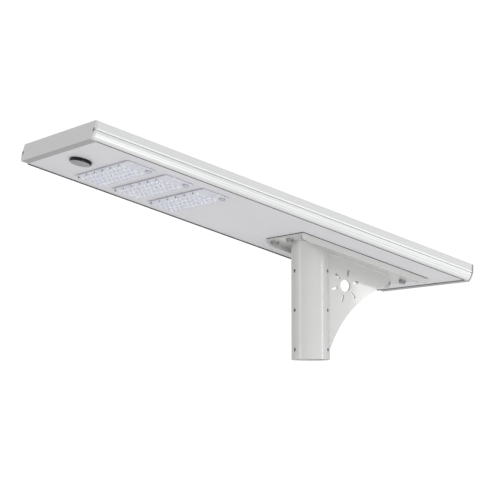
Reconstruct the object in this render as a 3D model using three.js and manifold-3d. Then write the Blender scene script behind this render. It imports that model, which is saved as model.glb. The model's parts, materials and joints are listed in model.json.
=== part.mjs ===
// A solar street lamp that stands on a pole: a long flat head with the solar panel on top and three
// LED modules underneath, bolted to a bracket whose round sleeve slips over the pole and is clamped by
// nine set screws.
//
// Lengths are millimetres. The lamp's frame has its origin at the centre of the sleeve's lower rim, +Z
// up along the sleeve, -X towards the lit end and +Y to the far side. The head has a frame of its own,
// where z = 0 is its underside, and is tilted so that the lit end stands higher.
import * as THREE from "three";
import { mergeVertices } from "three/addons/utils/BufferGeometryUtils.js";
import Module from "manifold-3d";

const wasm = await Module();
wasm.setup();

// General
const TILT = THREE.MathUtils.degToRad(13.8); // rise of the head towards its lit end
const FIT = 0.3; // gap between pieces that touch
const OVERSHOOT = 5; // how far a cutting tool runs past what it cuts

// Head
const FRONT_REACH = 633; // sleeve axis to the head's lit end
const REAR_REACH = 324; // sleeve axis to the head's rear end
const PANEL_WIDTH = 310; // bottom panel, between the side rails
const HEAD_HEIGHT = 38.6;
const PANEL_THICKNESS = 2;

// Side rails
const FLANK_FOOT = 1.2; // how far the rail's lower edge stands outside the panel
const FLANK_BULGE = 10.5; // and its widest line
const FLANK_TURN = { x: 8.6, y: 3.5 }; // where the tangents at foot and bulge would meet
const GROOVE_HEIGHT = 0.45 * HEAD_HEIGHT;
const GROOVE_WIDTH = 2.2;
const GROOVE_DEPTH = 1.5;
const RIDGE_HEIGHT = 2;
const FLANK_TOP = 6.6; // the upper band leans in to this
const RIDGE_STEP = 1; // step from the ridge in to the upper band
const EDGE_ROUNDING = 1.6;
const RAIL_WALL = 2.3;
const SHELF_THICKNESS = 2;
const GLASS_SHELF = 8; // reach of the ledge under the solar panel
const PANEL_SHELF = 14; // reach of the ledge above the bottom panel
const TOP_LIP = 5; // reach of the lip over the glass
const LIP_THICKNESS = 1.5;
const PANEL_GAP = 0.6; // open line between rail and bottom panel
const BOSS_REACH = 1; // screw boss, past the panel's edge
const BOSS_HEIGHT = 12;

// Solar panel
const GLASS_THICKNESS = 3.2;
const LAMINATE_THICKNESS = 1.8;
const GLASS_EDGE = 3; // how far the glass goes into the rail's slot
const JUNCTION_BOX = { x: 56, y: 60, z: 7, rounding: 3 };

// End caps
const CAP_THICKNESS = 3;
const CAP_LIP = 14; // depth of the cap's lip along the underside
const CAP_TOP_LIP = 8; // and along the top
const END_GASKET_THICKNESS = 1;
const END_GASKET_WIDTH = 9;
const END_GASKET_MARGIN = 0.8; // gasket edge inside the top of the flank
const END_GASKET_ROUNDING = 8;
const CAP_SCREW_OFFSET = 5.2; // screw line outside the panel's edge
const CAP_SCREW_HEIGHT = HEAD_HEIGHT / 2;
const CAP_SCREW_RADIUS = 2;
const CAP_SCREW_HEAD_RADIUS = 4.1;
const CAP_SCREW_HEAD = 1.8;
const CAP_SCREW_LENGTH = 22;
const CAP_SCREW_CROSS = { length: 5, width: 1 }; // the driver's recess

// LED modules
const MODULE_COUNT = 3;
const FIRST_MODULE = 139; // lit end to the first module's centre
const LENS_WIDTH = 66;
const LENS_LENGTH = 231;
const MODULE_GAP = 22;
const LENS_THICKNESS = 2.3;
const LENS_CORNER = 5;
const LENS_EAR = 33; // plain end of the lens, where the cable comes out
const LENS_RIM = 6; // plain border round the domes on the other sides
const LENS_OVERLAP = 5; // how far the lens overlaps the panel's opening
const DOME_RADIUS = 6;
const DOME_HEIGHT = 4;
const DOME_SHOULDER = { radius: 0.62, height: 0.8 }; // shares of the dome's radius and height
const DOME_PITCH_X = 13.6;
const DOME_PITCH_Y = 17.5;
const GASKET_THICKNESS = 1;
const GASKET_INSET = 1.2;
const BOARD_THICKNESS = 1.6;
const SINK_SEAT = 4; // how far the heat sink overlaps the panel's opening
const SINK_BASE = 4;
const SINK_FIN_HEIGHT = 16;
const SINK_FIN_THICKNESS = 2;
const SINK_FINS = 7;
const GLAND_RADIUS = 6.5;
const GLAND_STEM_RADIUS = 4.5;
const GLAND_CLEARANCE = 0.6;
const GLAND_HEIGHT = 3.6;
const GLAND_BEVEL = 1;
const GLAND_STEM_TOP = 12;
const GLAND_INSET = 11; // gland centre to the lens's long rear edge and its end

// Motion sensor
const SENSOR_SETBACK = 60; // lit end to the sensor's centre
const SENSOR_RADIUS = 23;
const SENSOR_DEPTH = 6.5;
const SENSOR_ROUNDING = 3;
const SENSOR_ROUNDING_STEPS = 3;
const SENSOR_STEM_RADIUS = 13;
const SENSOR_STEM_BORE = 10.5;
const SENSOR_STEM_TOP = 14;
const SENSOR_FACE = 2;
const SENSOR_NUT_FLATS = 36;
const SENSOR_NUT_HEIGHT = 5;
const SENSOR_GASKET_THICKNESS = 0.7;
const SENSOR_GASKET_INSET = 1;
const SENSOR_ELEMENT = { side: 8, height: 2 };

// Battery and electronics
const BATTERY_CLEARANCE = 10; // battery to the bolt line and to the rails' ledges
const BATTERY_SPLIT = 8; // gap between the two packs
const BATTERY_HEADROOM = 4.6; // under the solar panel, for the battery's straps
const BATTERY_ROUNDING = 4;
const STRAP_WIDTH = 20;
const STRAP_THICKNESS = 1.2;
const STRAP_FOOT = 6;
const CONTROLLER = { x: 76, y: 120, z: 17, rounding: 4 };
const TERMINALS = { x: 8, y: 90, z: 9 };
const LOOM_RADIUS = 2.5;
const LOOM_HEIGHT = 20;
const LOOM_STRAIGHT = 8; // before the lighting loom's first bend

// Bracket
const SLEEVE_HEIGHT = 250; // rim to the head's underside, on the axis
const SLEEVE_RADIUS = 41.5;
const SLEEVE_WALL = 3;
const PLATE_THICKNESS = 4;
const PLATE_WIDTH = 141;
const SKIRT_HEIGHT = 14;
const SKIRT_ROUNDING = 9;
const BOLT_EDGE = 15; // bolt line to the plate's end
const BOLT_SPACING = 57;
const BOLT_TO_SLEEVE = 12;
const GUSSET_THICKNESS = 5;
const GUSSET_REACH = 169; // sleeve wall to the gusset's rear edge
const GUSSET_TOE_LENGTH = 5.5; // short flat edge at the sleeve, below the arc
const GUSSET_TOE_HEIGHT = 18;
const GUSSET_HEEL = 21; // depth of the rear edge
const GUSSET_SAG = 26; // how deep the concave edge is cut behind its chord
const GUSSET_TO_BOLTS = 49;
const MOTIF_HOLE = 13.5;
const MOTIF_SLOTS = 6;
const MOTIF_SLOT_START = 21;
const MOTIF_SLOT_END = 37;
const MOTIF_SLOT_WIDTH = 5;
const MOTIF_TURN = THREE.MathUtils.degToRad(15);
const MOTIF_FROM_SLEEVE = 50;
const MOTIF_BELOW_PLATE = 58;

// Bracket bolts
const BOLT_RADIUS = 3.75;
const BOLT_CLEARANCE = 0.65;
const BOLT_FLATS = 13;
const BOLT_HEAD = 5.3;
const BOLT_FLANGE_RADIUS = 8.4;
const BOLT_FLANGE = 1.4;
const BOLT_BEVEL = 0.9; // of the head's lower corners
const BOLT_TIP = 11; // height of the bolt's end inside the head
const BACKING_THICKNESS = 4;
const BACKING_MARGIN = 6;

// Set screws
const SET_SCREW_RADIUS = 3.75;
const SET_SCREW_LENGTH = 10;
const SET_SCREW_CHAMFER = 0.8;
const SET_SCREW_SOCKET_FLATS = 4;
const SET_SCREW_SOCKET_DEPTH = 4;
const SET_SCREW_CLEARANCE = 0.35;
const SET_SCREW_FIRST_ROW = 21;
const SET_SCREW_ROW_PITCH = 85;
const SET_SCREW_ROWS = 3;
const SET_SCREW_COLUMNS = { front: Math.PI, near: -Math.PI / 3, far: Math.PI / 3 };

// Derived places, in the head's frame
const HALF = PANEL_WIDTH / 2;
const FRONT = -FRONT_REACH;
const REAR = REAR_REACH;
const JOINT = CAP_THICKNESS + FIT + END_GASKET_THICKNESS + FIT; // cap face to rail end
const SLOT_TOP = HEAD_HEIGHT - LIP_THICKNESS;
const GLASS_TOP = SLOT_TOP - FIT;
const LAMINATE_TOP = GLASS_TOP - GLASS_THICKNESS - FIT;
const SLOT_BOTTOM = LAMINATE_TOP - LAMINATE_THICKNESS - FIT;
const FLOOR = PANEL_THICKNESS + FIT; // where a piece inside the head rests on the panel
const BATTERY_BOTTOM = FLOOR + BACKING_THICKNESS + FIT;
const BATTERY_HEIGHT = SLOT_BOTTOM - BATTERY_HEADROOM - BATTERY_BOTTOM;
const LENS_TOP = -FIT - GASKET_THICKNESS - FIT;
const LENS_BOTTOM = LENS_TOP - LENS_THICKNESS;
const PLATE_BOTTOM = -FIT - PLATE_THICKNESS;
const PLATE_FRONT = -SLEEVE_RADIUS - BOLT_TO_SLEEVE - BOLT_EDGE;
const PLATE_REAR = SLEEVE_RADIUS + GUSSET_REACH + GUSSET_TO_BOLTS + BOLT_EDGE;
const BOLT_ROWS = { front: PLATE_FRONT + BOLT_EDGE, rear: PLATE_REAR - BOLT_EDGE };
const BOLT_COLUMNS = { near: -BOLT_SPACING, middle: 0, far: BOLT_SPACING };
const MODULE_PITCH = LENS_WIDTH + MODULE_GAP;
const LAST_MODULE_END = FRONT + FIRST_MODULE + (MODULE_COUNT - 1) * MODULE_PITCH + LENS_WIDTH / 2;
const CONTROLLER_X = (LAST_MODULE_END + PLATE_FRONT) / 2;

// Directions that a profile's u, v and depth are laid along
const ALONG_X = [new THREE.Vector3(0, 1, 0), new THREE.Vector3(0, 0, 1), new THREE.Vector3(1, 0, 0)];
const ALONG_Y = [new THREE.Vector3(1, 0, 0), new THREE.Vector3(0, 0, 1), new THREE.Vector3(0, -1, 0)];

// Booleans
function solid(geometry) {
  const bare = geometry.clone();
  bare.deleteAttribute("normal");
  bare.deleteAttribute("uv");
  const merged = mergeVertices(bare, 1e-4);
  return new wasm.Manifold(
    new wasm.Mesh({
      numProp: 3,
      vertProperties: merged.attributes.position.array,
      triVerts: new Uint32Array(merged.index.array),
    }),
  );
}

function surface(manifold) {
  const mesh = manifold.getMesh();
  const positions = new Float32Array(mesh.numVert * 3);
  for (let i = 0; i < mesh.numVert; i += 1) {
    const start = i * mesh.numProp;
    positions.set(mesh.vertProperties.subarray(start, start + 3), i * 3);
  }
  const geometry = new THREE.BufferGeometry();
  geometry.setAttribute("position", new THREE.BufferAttribute(positions, 3));
  geometry.setIndex(new THREE.BufferAttribute(mesh.triVerts, 1));
  const flat = geometry.toNonIndexed();
  flat.computeVertexNormals();
  return flat;
}

function join(base, additions) {
  return surface(additions.reduce((sum, tool) => sum.add(solid(tool)), solid(base)));
}

function cut(base, tools) {
  return surface(tools.reduce((rest, tool) => rest.subtract(solid(tool)), solid(base)));
}

// Simple shapes
function box([x0, x1], [y0, y1], [z0, z1]) {
  const geometry = new THREE.BoxGeometry(x1 - x0, y1 - y0, z1 - z0);
  return geometry.translate((x0 + x1) / 2, (y0 + y1) / 2, (z0 + z1) / 2);
}

function rod(x, y, radius, [z0, z1], sides = 24) {
  const geometry = new THREE.CylinderGeometry(radius, radius, z1 - z0, sides);
  return geometry.rotateX(Math.PI / 2).translate(x, y, (z0 + z1) / 2);
}

function hexagon(flats, [z0, z1]) {
  return rod(0, 0, flats / Math.sqrt(3), [z0, z1], 6);
}

// A solid of revolution about Z from (radius, height) points that run from the lower end to the upper one
function revolve(points, sides = 32) {
  const profile = points.map(([radius, height]) => new THREE.Vector2(radius, height));
  return new THREE.LatheGeometry(profile, sides).rotateX(Math.PI / 2);
}

function prism(shape, depth, directions, curveSegments = 12) {
  const geometry = new THREE.ExtrudeGeometry(shape, { depth, bevelEnabled: false, curveSegments });
  if (directions) {
    geometry.applyMatrix4(new THREE.Matrix4().makeBasis(...directions));
  }
  return geometry;
}

function plateOf(shape, [z0, z1], curveSegments = 6) {
  return prism(shape, z1 - z0, null, curveSegments).translate(0, 0, z0);
}

function roundedRectangle([x0, x1], [y0, y1], radius) {
  const shape = new THREE.Shape();
  shape.moveTo(x0 + radius, y0);
  shape.lineTo(x1 - radius, y0);
  shape.absarc(x1 - radius, y0 + radius, radius, -Math.PI / 2, 0, false);
  shape.lineTo(x1, y1 - radius);
  shape.absarc(x1 - radius, y1 - radius, radius, 0, Math.PI / 2, false);
  shape.lineTo(x0 + radius, y1);
  shape.absarc(x0 + radius, y1 - radius, radius, Math.PI / 2, Math.PI, false);
  shape.lineTo(x0, y0 + radius);
  shape.absarc(x0 + radius, y0 + radius, radius, Math.PI, 1.5 * Math.PI, false);
  return shape;
}

function disc(x, y, radius, sides = 12) {
  const circle = new THREE.EllipseCurve(x, y, radius, radius, 0, 2 * Math.PI);
  return new THREE.Path(circle.getPoints(sides));
}

// A round tube along a smooth route
function tube(route, radius, sides = 8) {
  const section = new THREE.Shape();
  section.absarc(0, 0, radius, 0, 2 * Math.PI, false);
  const steps = Math.max(8, Math.round(route.getLength() / (5 * radius)));
  return new THREE.ExtrudeGeometry(section, { steps, extrudePath: route, curveSegments: sides / 2 });
}

// Side rails. The flank is the rail's outer face, as points of (distance outside the panel, height)
// that run from its foot to its top.
function flankPoints() {
  const ridge = GROOVE_HEIGHT + GROOVE_WIDTH;
  const path = new THREE.Path();
  path.moveTo(FLANK_FOOT, 0);
  path.quadraticCurveTo(FLANK_TURN.x, FLANK_TURN.y, FLANK_BULGE, GROOVE_HEIGHT);
  path.lineTo(FLANK_BULGE - GROOVE_DEPTH, GROOVE_HEIGHT + GROOVE_WIDTH / 3);
  path.lineTo(FLANK_BULGE - GROOVE_DEPTH, ridge - GROOVE_WIDTH / 3);
  path.lineTo(FLANK_BULGE, ridge);
  path.lineTo(FLANK_BULGE, ridge + RIDGE_HEIGHT);
  path.lineTo(FLANK_BULGE - RIDGE_STEP, ridge + RIDGE_HEIGHT + RIDGE_STEP);
  path.lineTo(FLANK_TOP, HEAD_HEIGHT - EDGE_ROUNDING);
  path.quadraticCurveTo(FLANK_TOP, HEAD_HEIGHT, FLANK_TOP - EDGE_ROUNDING, HEAD_HEIGHT);
  return path.getPoints(7);
}

function railProfile(side) {
  const bossTop = CAP_SCREW_HEIGHT + BOSS_HEIGHT / 2;
  const bossBottom = CAP_SCREW_HEIGHT - BOSS_HEIGHT / 2;
  const wallTop = FLANK_TOP + RIDGE_STEP - RAIL_WALL;
  const wallMiddle = FLANK_BULGE - GROOVE_DEPTH - RAIL_WALL;
  const ledgeTop = FLOOR + SHELF_THICKNESS;
  const inside = [
    [-TOP_LIP, HEAD_HEIGHT],
    [-TOP_LIP, SLOT_TOP],
    [GLASS_EDGE + FIT, SLOT_TOP],
    [GLASS_EDGE + FIT, SLOT_BOTTOM],
    [-GLASS_SHELF, SLOT_BOTTOM],
    [-GLASS_SHELF, SLOT_BOTTOM - SHELF_THICKNESS],
    [wallTop, SLOT_BOTTOM - SHELF_THICKNESS],
    [wallMiddle, bossTop],
    [-BOSS_REACH, bossTop],
    [-BOSS_REACH, bossBottom],
    [wallMiddle, bossBottom],
    [FLANK_FOOT + RAIL_WALL, ledgeTop],
    [-PANEL_SHELF, ledgeTop],
    [-PANEL_SHELF, FLOOR],
    [PANEL_GAP, FLOOR],
    [PANEL_GAP, 0],
  ].map(([outwards, height]) => new THREE.Vector2(outwards, height));
  const outline = [...flankPoints(), ...inside];
  const shape = new THREE.Shape(outline.map((p) => new THREE.Vector2(side * (HALF + p.x), p.y)));
  shape.holes.push(disc(side * (HALF + CAP_SCREW_OFFSET), CAP_SCREW_HEIGHT, CAP_SCREW_RADIUS + FIT));
  return shape;
}

function sideRail(side) {
  const length = REAR - FRONT - 2 * JOINT;
  return prism(railProfile(side), length, ALONG_X).translate(FRONT + JOINT, 0, 0);
}

// End caps. Each is drawn with its outer face at x = 0 and the head on its +X side, then turned to
// its own end of the head.
function capScrewPlaces() {
  return [-1, 1].map((side) => side * (HALF + CAP_SCREW_OFFSET));
}

function endCap() {
  const flank = flankPoints();
  const near = flank.map((p) => new THREE.Vector2(-(HALF + p.x), p.y));
  const far = flank.map((p) => new THREE.Vector2(HALF + p.x, p.y)).reverse();
  const plate = prism(new THREE.Shape([...near, ...far]), CAP_THICKNESS, ALONG_X);
  const lip = box([CAP_THICKNESS / 2, CAP_LIP], [-HALF + FIT, HALF - FIT], [0, PANEL_THICKNESS]);
  const topHalf = HALF - TOP_LIP - FIT;
  const topLip = box([CAP_THICKNESS / 2, CAP_TOP_LIP], [-topHalf, topHalf], [SLOT_TOP, HEAD_HEIGHT]);
  const holes = capScrewPlaces().flatMap((y) => [
    alongX(CAP_SCREW_RADIUS + FIT, [-OVERSHOOT, CAP_THICKNESS + OVERSHOOT], y, CAP_SCREW_HEIGHT),
    alongX(CAP_SCREW_HEAD_RADIUS + FIT, [-OVERSHOOT, CAP_SCREW_HEAD + FIT], y, CAP_SCREW_HEIGHT),
  ]);
  return cut(join(plate, [lip, topLip]), holes);
}

function alongX(radius, [x0, x1], y, z, sides = 16) {
  return rod(0, 0, radius, [x0, x1], sides).rotateY(Math.PI / 2).translate(0, y, z);
}

function endGasket() {
  const outer = HALF + FLANK_TOP - END_GASKET_MARGIN;
  const inner = outer - END_GASKET_WIDTH;
  const low = FLOOR;
  const high = SLOT_TOP - FIT;
  const margin = END_GASKET_WIDTH / 2;
  const outline = roundedRectangle([-outer, outer], [low, high], END_GASKET_ROUNDING);
  outline.holes.push(roundedRectangle([-inner, inner], [low + margin, high - margin], margin));
  const start = CAP_THICKNESS + FIT;
  const body = prism(outline, END_GASKET_THICKNESS, ALONG_X, 2).translate(start, 0, 0);
  const holes = capScrewPlaces().map((y) =>
    alongX(CAP_SCREW_RADIUS + FIT, [0, start + END_GASKET_THICKNESS + OVERSHOOT], y, CAP_SCREW_HEIGHT),
  );
  return cut(body, holes);
}

function capScrew() {
  const head = alongX(CAP_SCREW_HEAD_RADIUS, [0, CAP_SCREW_HEAD], 0, 0);
  const shank = alongX(CAP_SCREW_RADIUS, [CAP_SCREW_HEAD / 2, CAP_SCREW_LENGTH], 0, 0, 12);
  const depth = [-OVERSHOOT, CAP_SCREW_HEAD / 2];
  const along = [-CAP_SCREW_CROSS.length / 2, CAP_SCREW_CROSS.length / 2];
  const across = [-CAP_SCREW_CROSS.width / 2, CAP_SCREW_CROSS.width / 2];
  return cut(join(head, [shank]), [box(depth, along, across), box(depth, across, along)]);
}

// Panels
function moduleCentre(index) {
  return FRONT + FIRST_MODULE + index * MODULE_PITCH;
}

// The stretch of a module that holds its domes, from its cable end to the other
function domeField() {
  return [-LENS_LENGTH / 2 + LENS_EAR, LENS_LENGTH / 2 - LENS_RIM];
}

function moduleOpening(grow) {
  const halfWidth = LENS_WIDTH / 2 - LENS_OVERLAP + grow;
  const [y0, y1] = domeField();
  return { x: [-halfWidth, halfWidth], y: [y0 - grow, y1 + grow] };
}

function glandPlace() {
  return { x: LENS_WIDTH / 2 - GLAND_INSET, y: -LENS_LENGTH / 2 + GLAND_INSET };
}

function boltPlaces() {
  return Object.values(BOLT_ROWS).flatMap((x) => Object.values(BOLT_COLUMNS).map((y) => [x, y]));
}

function bottomPanel() {
  const x = [FRONT + CAP_LIP + FIT, REAR - CAP_LIP - FIT];
  const through = [-OVERSHOOT, PANEL_THICKNESS + OVERSHOOT];
  const blank = box(x, [-HALF + FIT, HALF - FIT], [0, PANEL_THICKNESS]);
  const openings = [];
  for (let i = 0; i < MODULE_COUNT; i += 1) {
    const opening = moduleOpening(0);
    const gland = glandPlace();
    openings.push(box(opening.x, opening.y, through).translate(moduleCentre(i), 0, 0));
    openings.push(rod(moduleCentre(i) + gland.x, gland.y, GLAND_STEM_RADIUS + GLAND_CLEARANCE, through, 12));
  }
  openings.push(rod(FRONT + SENSOR_SETBACK, 0, SENSOR_STEM_RADIUS + FIT, through, 28));
  const boltHoles = boltPlaces().map(([bx, by]) => rod(bx, by, BOLT_RADIUS + BOLT_CLEARANCE, through, 12));
  return cut(blank, [...openings, ...boltHoles]);
}

function solarSheet(top, thickness) {
  const x = [FRONT + JOINT + FIT, REAR - JOINT - FIT];
  return box(x, [-HALF - GLASS_EDGE, HALF + GLASS_EDGE], [top - thickness, top]);
}

function junctionBox() {
  const top = LAMINATE_TOP - LAMINATE_THICKNESS - FIT;
  const shape = roundedRectangle([0, JUNCTION_BOX.x], [0, JUNCTION_BOX.y], JUNCTION_BOX.rounding);
  return plateOf(shape, [top - JUNCTION_BOX.z, top], 2).translate(junctionBoxStart(), BATTERY_SPLIT, 0);
}

function junctionBoxStart() {
  return CONTROLLER_X + CONTROLLER.x / 2 + TERMINALS.x + BATTERY_CLEARANCE;
}

// LED modules, each drawn about its own centre
function ledLens() {
  const half = LENS_WIDTH / 2;
  const gland = glandPlace();
  const outline = roundedRectangle([-half, half], [-LENS_LENGTH / 2, LENS_LENGTH / 2], LENS_CORNER);
  outline.holes.push(disc(gland.x, gland.y, GLAND_STEM_RADIUS + GLAND_CLEARANCE));
  const [y0, y1] = domeField();
  const columns = Math.floor((y1 - y0 - 2 * DOME_RADIUS) / DOME_PITCH_Y) + 1;
  const rows = Math.floor((LENS_WIDTH - 2 * LENS_RIM - 2 * DOME_RADIUS) / DOME_PITCH_X) + 1;
  const domes = [];
  for (let row = 0; row < rows; row += 1) {
    for (let column = 0; column < columns; column += 1) {
      const x = (row - (rows - 1) / 2) * DOME_PITCH_X;
      const y = (y0 + y1) / 2 + (column - (columns - 1) / 2) * DOME_PITCH_Y;
      domes.push(lensDome().translate(x, y, 0));
    }
  }
  return join(plateOf(outline, [LENS_BOTTOM, LENS_TOP], 3), domes);
}

function lensDome() {
  const root = LENS_BOTTOM + LENS_THICKNESS / 2;
  return revolve(
    [
      [0, LENS_BOTTOM - DOME_HEIGHT],
      [DOME_SHOULDER.radius * DOME_RADIUS, LENS_BOTTOM - DOME_SHOULDER.height * DOME_HEIGHT],
      [DOME_RADIUS, LENS_BOTTOM],
      [DOME_RADIUS, root],
      [0, root],
    ],
    6,
  );
}

function ledGasket() {
  const half = LENS_WIDTH / 2 - GASKET_INSET;
  const end = LENS_LENGTH / 2 - GASKET_INSET;
  const gland = glandPlace();
  const opening = moduleOpening(FIT);
  const outline = roundedRectangle([-half, half], [-end, end], LENS_CORNER);
  outline.holes.push(roundedRectangle(opening.x, opening.y, GASKET_INSET));
  outline.holes.push(disc(gland.x, gland.y, GLAND_STEM_RADIUS + GLAND_CLEARANCE));
  return plateOf(outline, [LENS_TOP + FIT, -FIT], 2);
}

function ledBoard() {
  const space = moduleOpening(-FIT);
  return box(space.x, space.y, [PANEL_THICKNESS - BOARD_THICKNESS, PANEL_THICKNESS]);
}

function ledHeatSink() {
  const seat = moduleOpening(SINK_SEAT);
  const fins = [];
  const pitch = (seat.x[1] - seat.x[0] - SINK_FIN_THICKNESS) / (SINK_FINS - 1);
  const base = FLOOR + SINK_BASE;
  for (let i = 0; i < SINK_FINS; i += 1) {
    const x = seat.x[0] + i * pitch;
    fins.push(box([x, x + SINK_FIN_THICKNESS], seat.y, [base - FIT, base + SINK_FIN_HEIGHT]));
  }
  return join(box(seat.x, seat.y, [FLOOR, base]), fins);
}

function cableGland() {
  const { x, y } = glandPlace();
  const top = LENS_BOTTOM - FIT;
  return revolve(
    [
      [0, top - GLAND_HEIGHT],
      [GLAND_RADIUS - GLAND_BEVEL, top - GLAND_HEIGHT],
      [GLAND_RADIUS, top - GLAND_HEIGHT + GLAND_BEVEL],
      [GLAND_RADIUS, top],
      [GLAND_STEM_RADIUS, top],
      [GLAND_STEM_RADIUS, GLAND_STEM_TOP],
      [0, GLAND_STEM_TOP],
    ],
    20,
  ).translate(x, y, 0);
}

// Motion sensor, drawn about its own axis
function sensorCover() {
  const top = -FIT - SENSOR_GASKET_THICKNESS - FIT;
  const bottom = top - SENSOR_DEPTH;
  const points = [[0, bottom]];
  for (let i = 0; i <= SENSOR_ROUNDING_STEPS; i += 1) {
    const turn = (i / SENSOR_ROUNDING_STEPS) * (Math.PI / 2);
    const inset = SENSOR_ROUNDING * (1 - Math.sin(turn));
    points.push([SENSOR_RADIUS - inset, bottom + SENSOR_ROUNDING * (1 - Math.cos(turn))]);
  }
  points.push(
    [SENSOR_RADIUS, top],
    [SENSOR_STEM_RADIUS, top],
    [SENSOR_STEM_RADIUS, SENSOR_STEM_TOP],
    [SENSOR_STEM_BORE, SENSOR_STEM_TOP],
    [SENSOR_STEM_BORE, bottom + SENSOR_FACE],
    [0, bottom + SENSOR_FACE],
  );
  return revolve(points, 28);
}

function ring(outer, inner, [z0, z1], sides = 32) {
  const shape = new THREE.Shape();
  shape.absarc(0, 0, outer, 0, 2 * Math.PI, false);
  shape.holes.push(disc(0, 0, inner, sides));
  return plateOf(shape, [z0, z1], sides / 2);
}

function sensorNut() {
  const span = [FLOOR, FLOOR + SENSOR_NUT_HEIGHT];
  const bore = rod(0, 0, SENSOR_STEM_RADIUS + FIT, [0, SENSOR_NUT_HEIGHT + FLOOR + OVERSHOOT], 28);
  return cut(hexagon(SENSOR_NUT_FLATS, span), [bore]);
}

// A round board with the sensing element on its lower face
function sensorBoard() {
  const half = SENSOR_ELEMENT.side / 2;
  const element = box([-half, half], [-half, half], [-SENSOR_ELEMENT.height, BOARD_THICKNESS / 2]);
  return join(rod(0, 0, SENSOR_STEM_BORE - FIT, [0, BOARD_THICKNESS], 20), [element]);
}

// Battery and electronics
function batterySpace() {
  const side = HALF - PANEL_SHELF - BATTERY_CLEARANCE;
  return {
    x: [BOLT_ROWS.front + BATTERY_CLEARANCE, BOLT_ROWS.rear - BATTERY_CLEARANCE],
    y: [BATTERY_SPLIT / 2, side],
    z: [BATTERY_BOTTOM, BATTERY_BOTTOM + BATTERY_HEIGHT],
  };
}

function batteryPack(side) {
  const space = batterySpace();
  const y = [side * space.y[0], side * space.y[1]].sort((a, b) => a - b);
  return plateOf(roundedRectangle(space.x, y, BATTERY_ROUNDING), space.z, 2);
}

function batteryStrap(x) {
  const space = batterySpace();
  const inner = space.y[1] + FIT;
  const outer = inner + STRAP_THICKNESS;
  const low = space.z[1] + FIT;
  const high = low + STRAP_THICKNESS;
  const across = [x - STRAP_WIDTH / 2, x + STRAP_WIDTH / 2];
  const pieces = [];
  for (const side of [-1, 1]) {
    const leg = [side * inner, side * outer].sort((a, b) => a - b);
    const foot = [side * inner, side * (outer + STRAP_FOOT)].sort((a, b) => a - b);
    pieces.push(box(across, leg, [FLOOR, high]));
    pieces.push(box(across, foot, [FLOOR, FLOOR + STRAP_THICKNESS]));
  }
  return join(box(across, [-outer, outer], [low, high]), pieces);
}

function strapPlaces() {
  const [x0, x1] = batterySpace().x;
  return { front: x0 + (x1 - x0) / 4, rear: x1 - (x1 - x0) / 4 };
}

function chargeController() {
  const half = CONTROLLER.x / 2;
  const side = CONTROLLER.y / 2;
  const shape = roundedRectangle([-half, half], [-side, side], CONTROLLER.rounding);
  const body = plateOf(shape, [FLOOR, FLOOR + CONTROLLER.z], 2);
  const strip = box(
    [0, half + TERMINALS.x],
    [-TERMINALS.y / 2, TERMINALS.y / 2],
    [FLOOR, FLOOR + TERMINALS.z],
  );
  return join(body, [strip]).translate(CONTROLLER_X, 0, 0);
}

function lightingLoom() {
  const side = -(HALF - PANEL_SHELF - 2 * LOOM_RADIUS);
  const start = CONTROLLER_X - CONTROLLER.x / 2 - FIT;
  const low = FLOOR + TERMINALS.z;
  const bend = (LAST_MODULE_END + start) / 2;
  const route = new THREE.CatmullRomCurve3([
    new THREE.Vector3(start, 0, low),
    new THREE.Vector3(start - LOOM_STRAIGHT, 0, low),
    new THREE.Vector3(bend, side / 2, LOOM_HEIGHT),
    new THREE.Vector3(LAST_MODULE_END, side, LOOM_HEIGHT),
    new THREE.Vector3(moduleCentre(0), side, LOOM_HEIGHT),
  ]);
  return tube(route, LOOM_RADIUS);
}

// From the controller's terminals to the battery, leaving and arriving square to both
function batteryLoom() {
  const start = CONTROLLER_X + CONTROLLER.x / 2 + TERMINALS.x + FIT;
  const end = batterySpace().x[0] - FIT;
  const middle = (start + end) / 2;
  const y = -BOLT_SPACING / 2;
  const high = BATTERY_BOTTOM + BATTERY_HEIGHT / 2;
  const route = new THREE.CubicBezierCurve3(
    new THREE.Vector3(start, y, terminalHeight()),
    new THREE.Vector3(middle, y, terminalHeight()),
    new THREE.Vector3(middle, y, high),
    new THREE.Vector3(end, y, high),
  );
  return tube(route, LOOM_RADIUS);
}

// From the controller's terminals up to the solar panel's junction box
function solarLoom() {
  const y = BATTERY_SPLIT + JUNCTION_BOX.y / 2;
  const start = CONTROLLER_X + CONTROLLER.x / 2 + TERMINALS.x + FIT;
  const down = junctionBoxStart() + JUNCTION_BOX.x / 3;
  const boxBottom = SLOT_BOTTOM - JUNCTION_BOX.z;
  const route = new THREE.QuadraticBezierCurve3(
    new THREE.Vector3(start, y, terminalHeight()),
    new THREE.Vector3(down, y, terminalHeight()),
    new THREE.Vector3(down, y, boxBottom - FIT),
  );
  return tube(route, LOOM_RADIUS);
}

function terminalHeight() {
  return FLOOR + TERMINALS.z / 2;
}

// Bracket
function backingPlate() {
  const x = [PLATE_FRONT + BACKING_MARGIN, PLATE_REAR - BACKING_MARGIN];
  const y = PLATE_WIDTH / 2 - BACKING_MARGIN;
  const through = [0, FLOOR + BACKING_THICKNESS + OVERSHOOT];
  const holes = boltPlaces().map(([bx, by]) => rod(bx, by, BOLT_RADIUS + BOLT_CLEARANCE, through, 12));
  return cut(box(x, [-y, y], [FLOOR, FLOOR + BACKING_THICKNESS]), holes);
}

// One of the plate's turned-down sides, with its lower corners rounded
function skirtProfile() {
  const shape = new THREE.Shape();
  const low = -FIT - SKIRT_HEIGHT;
  shape.moveTo(PLATE_FRONT, -FIT);
  shape.lineTo(PLATE_FRONT, low + SKIRT_ROUNDING);
  const corner = new THREE.Vector2(PLATE_FRONT, low).addScalar(SKIRT_ROUNDING);
  shape.absarc(corner.x, corner.y, SKIRT_ROUNDING, Math.PI, 1.5 * Math.PI, false);
  shape.lineTo(PLATE_REAR, low);
  shape.lineTo(PLATE_REAR, -FIT);
  return shape;
}

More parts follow.
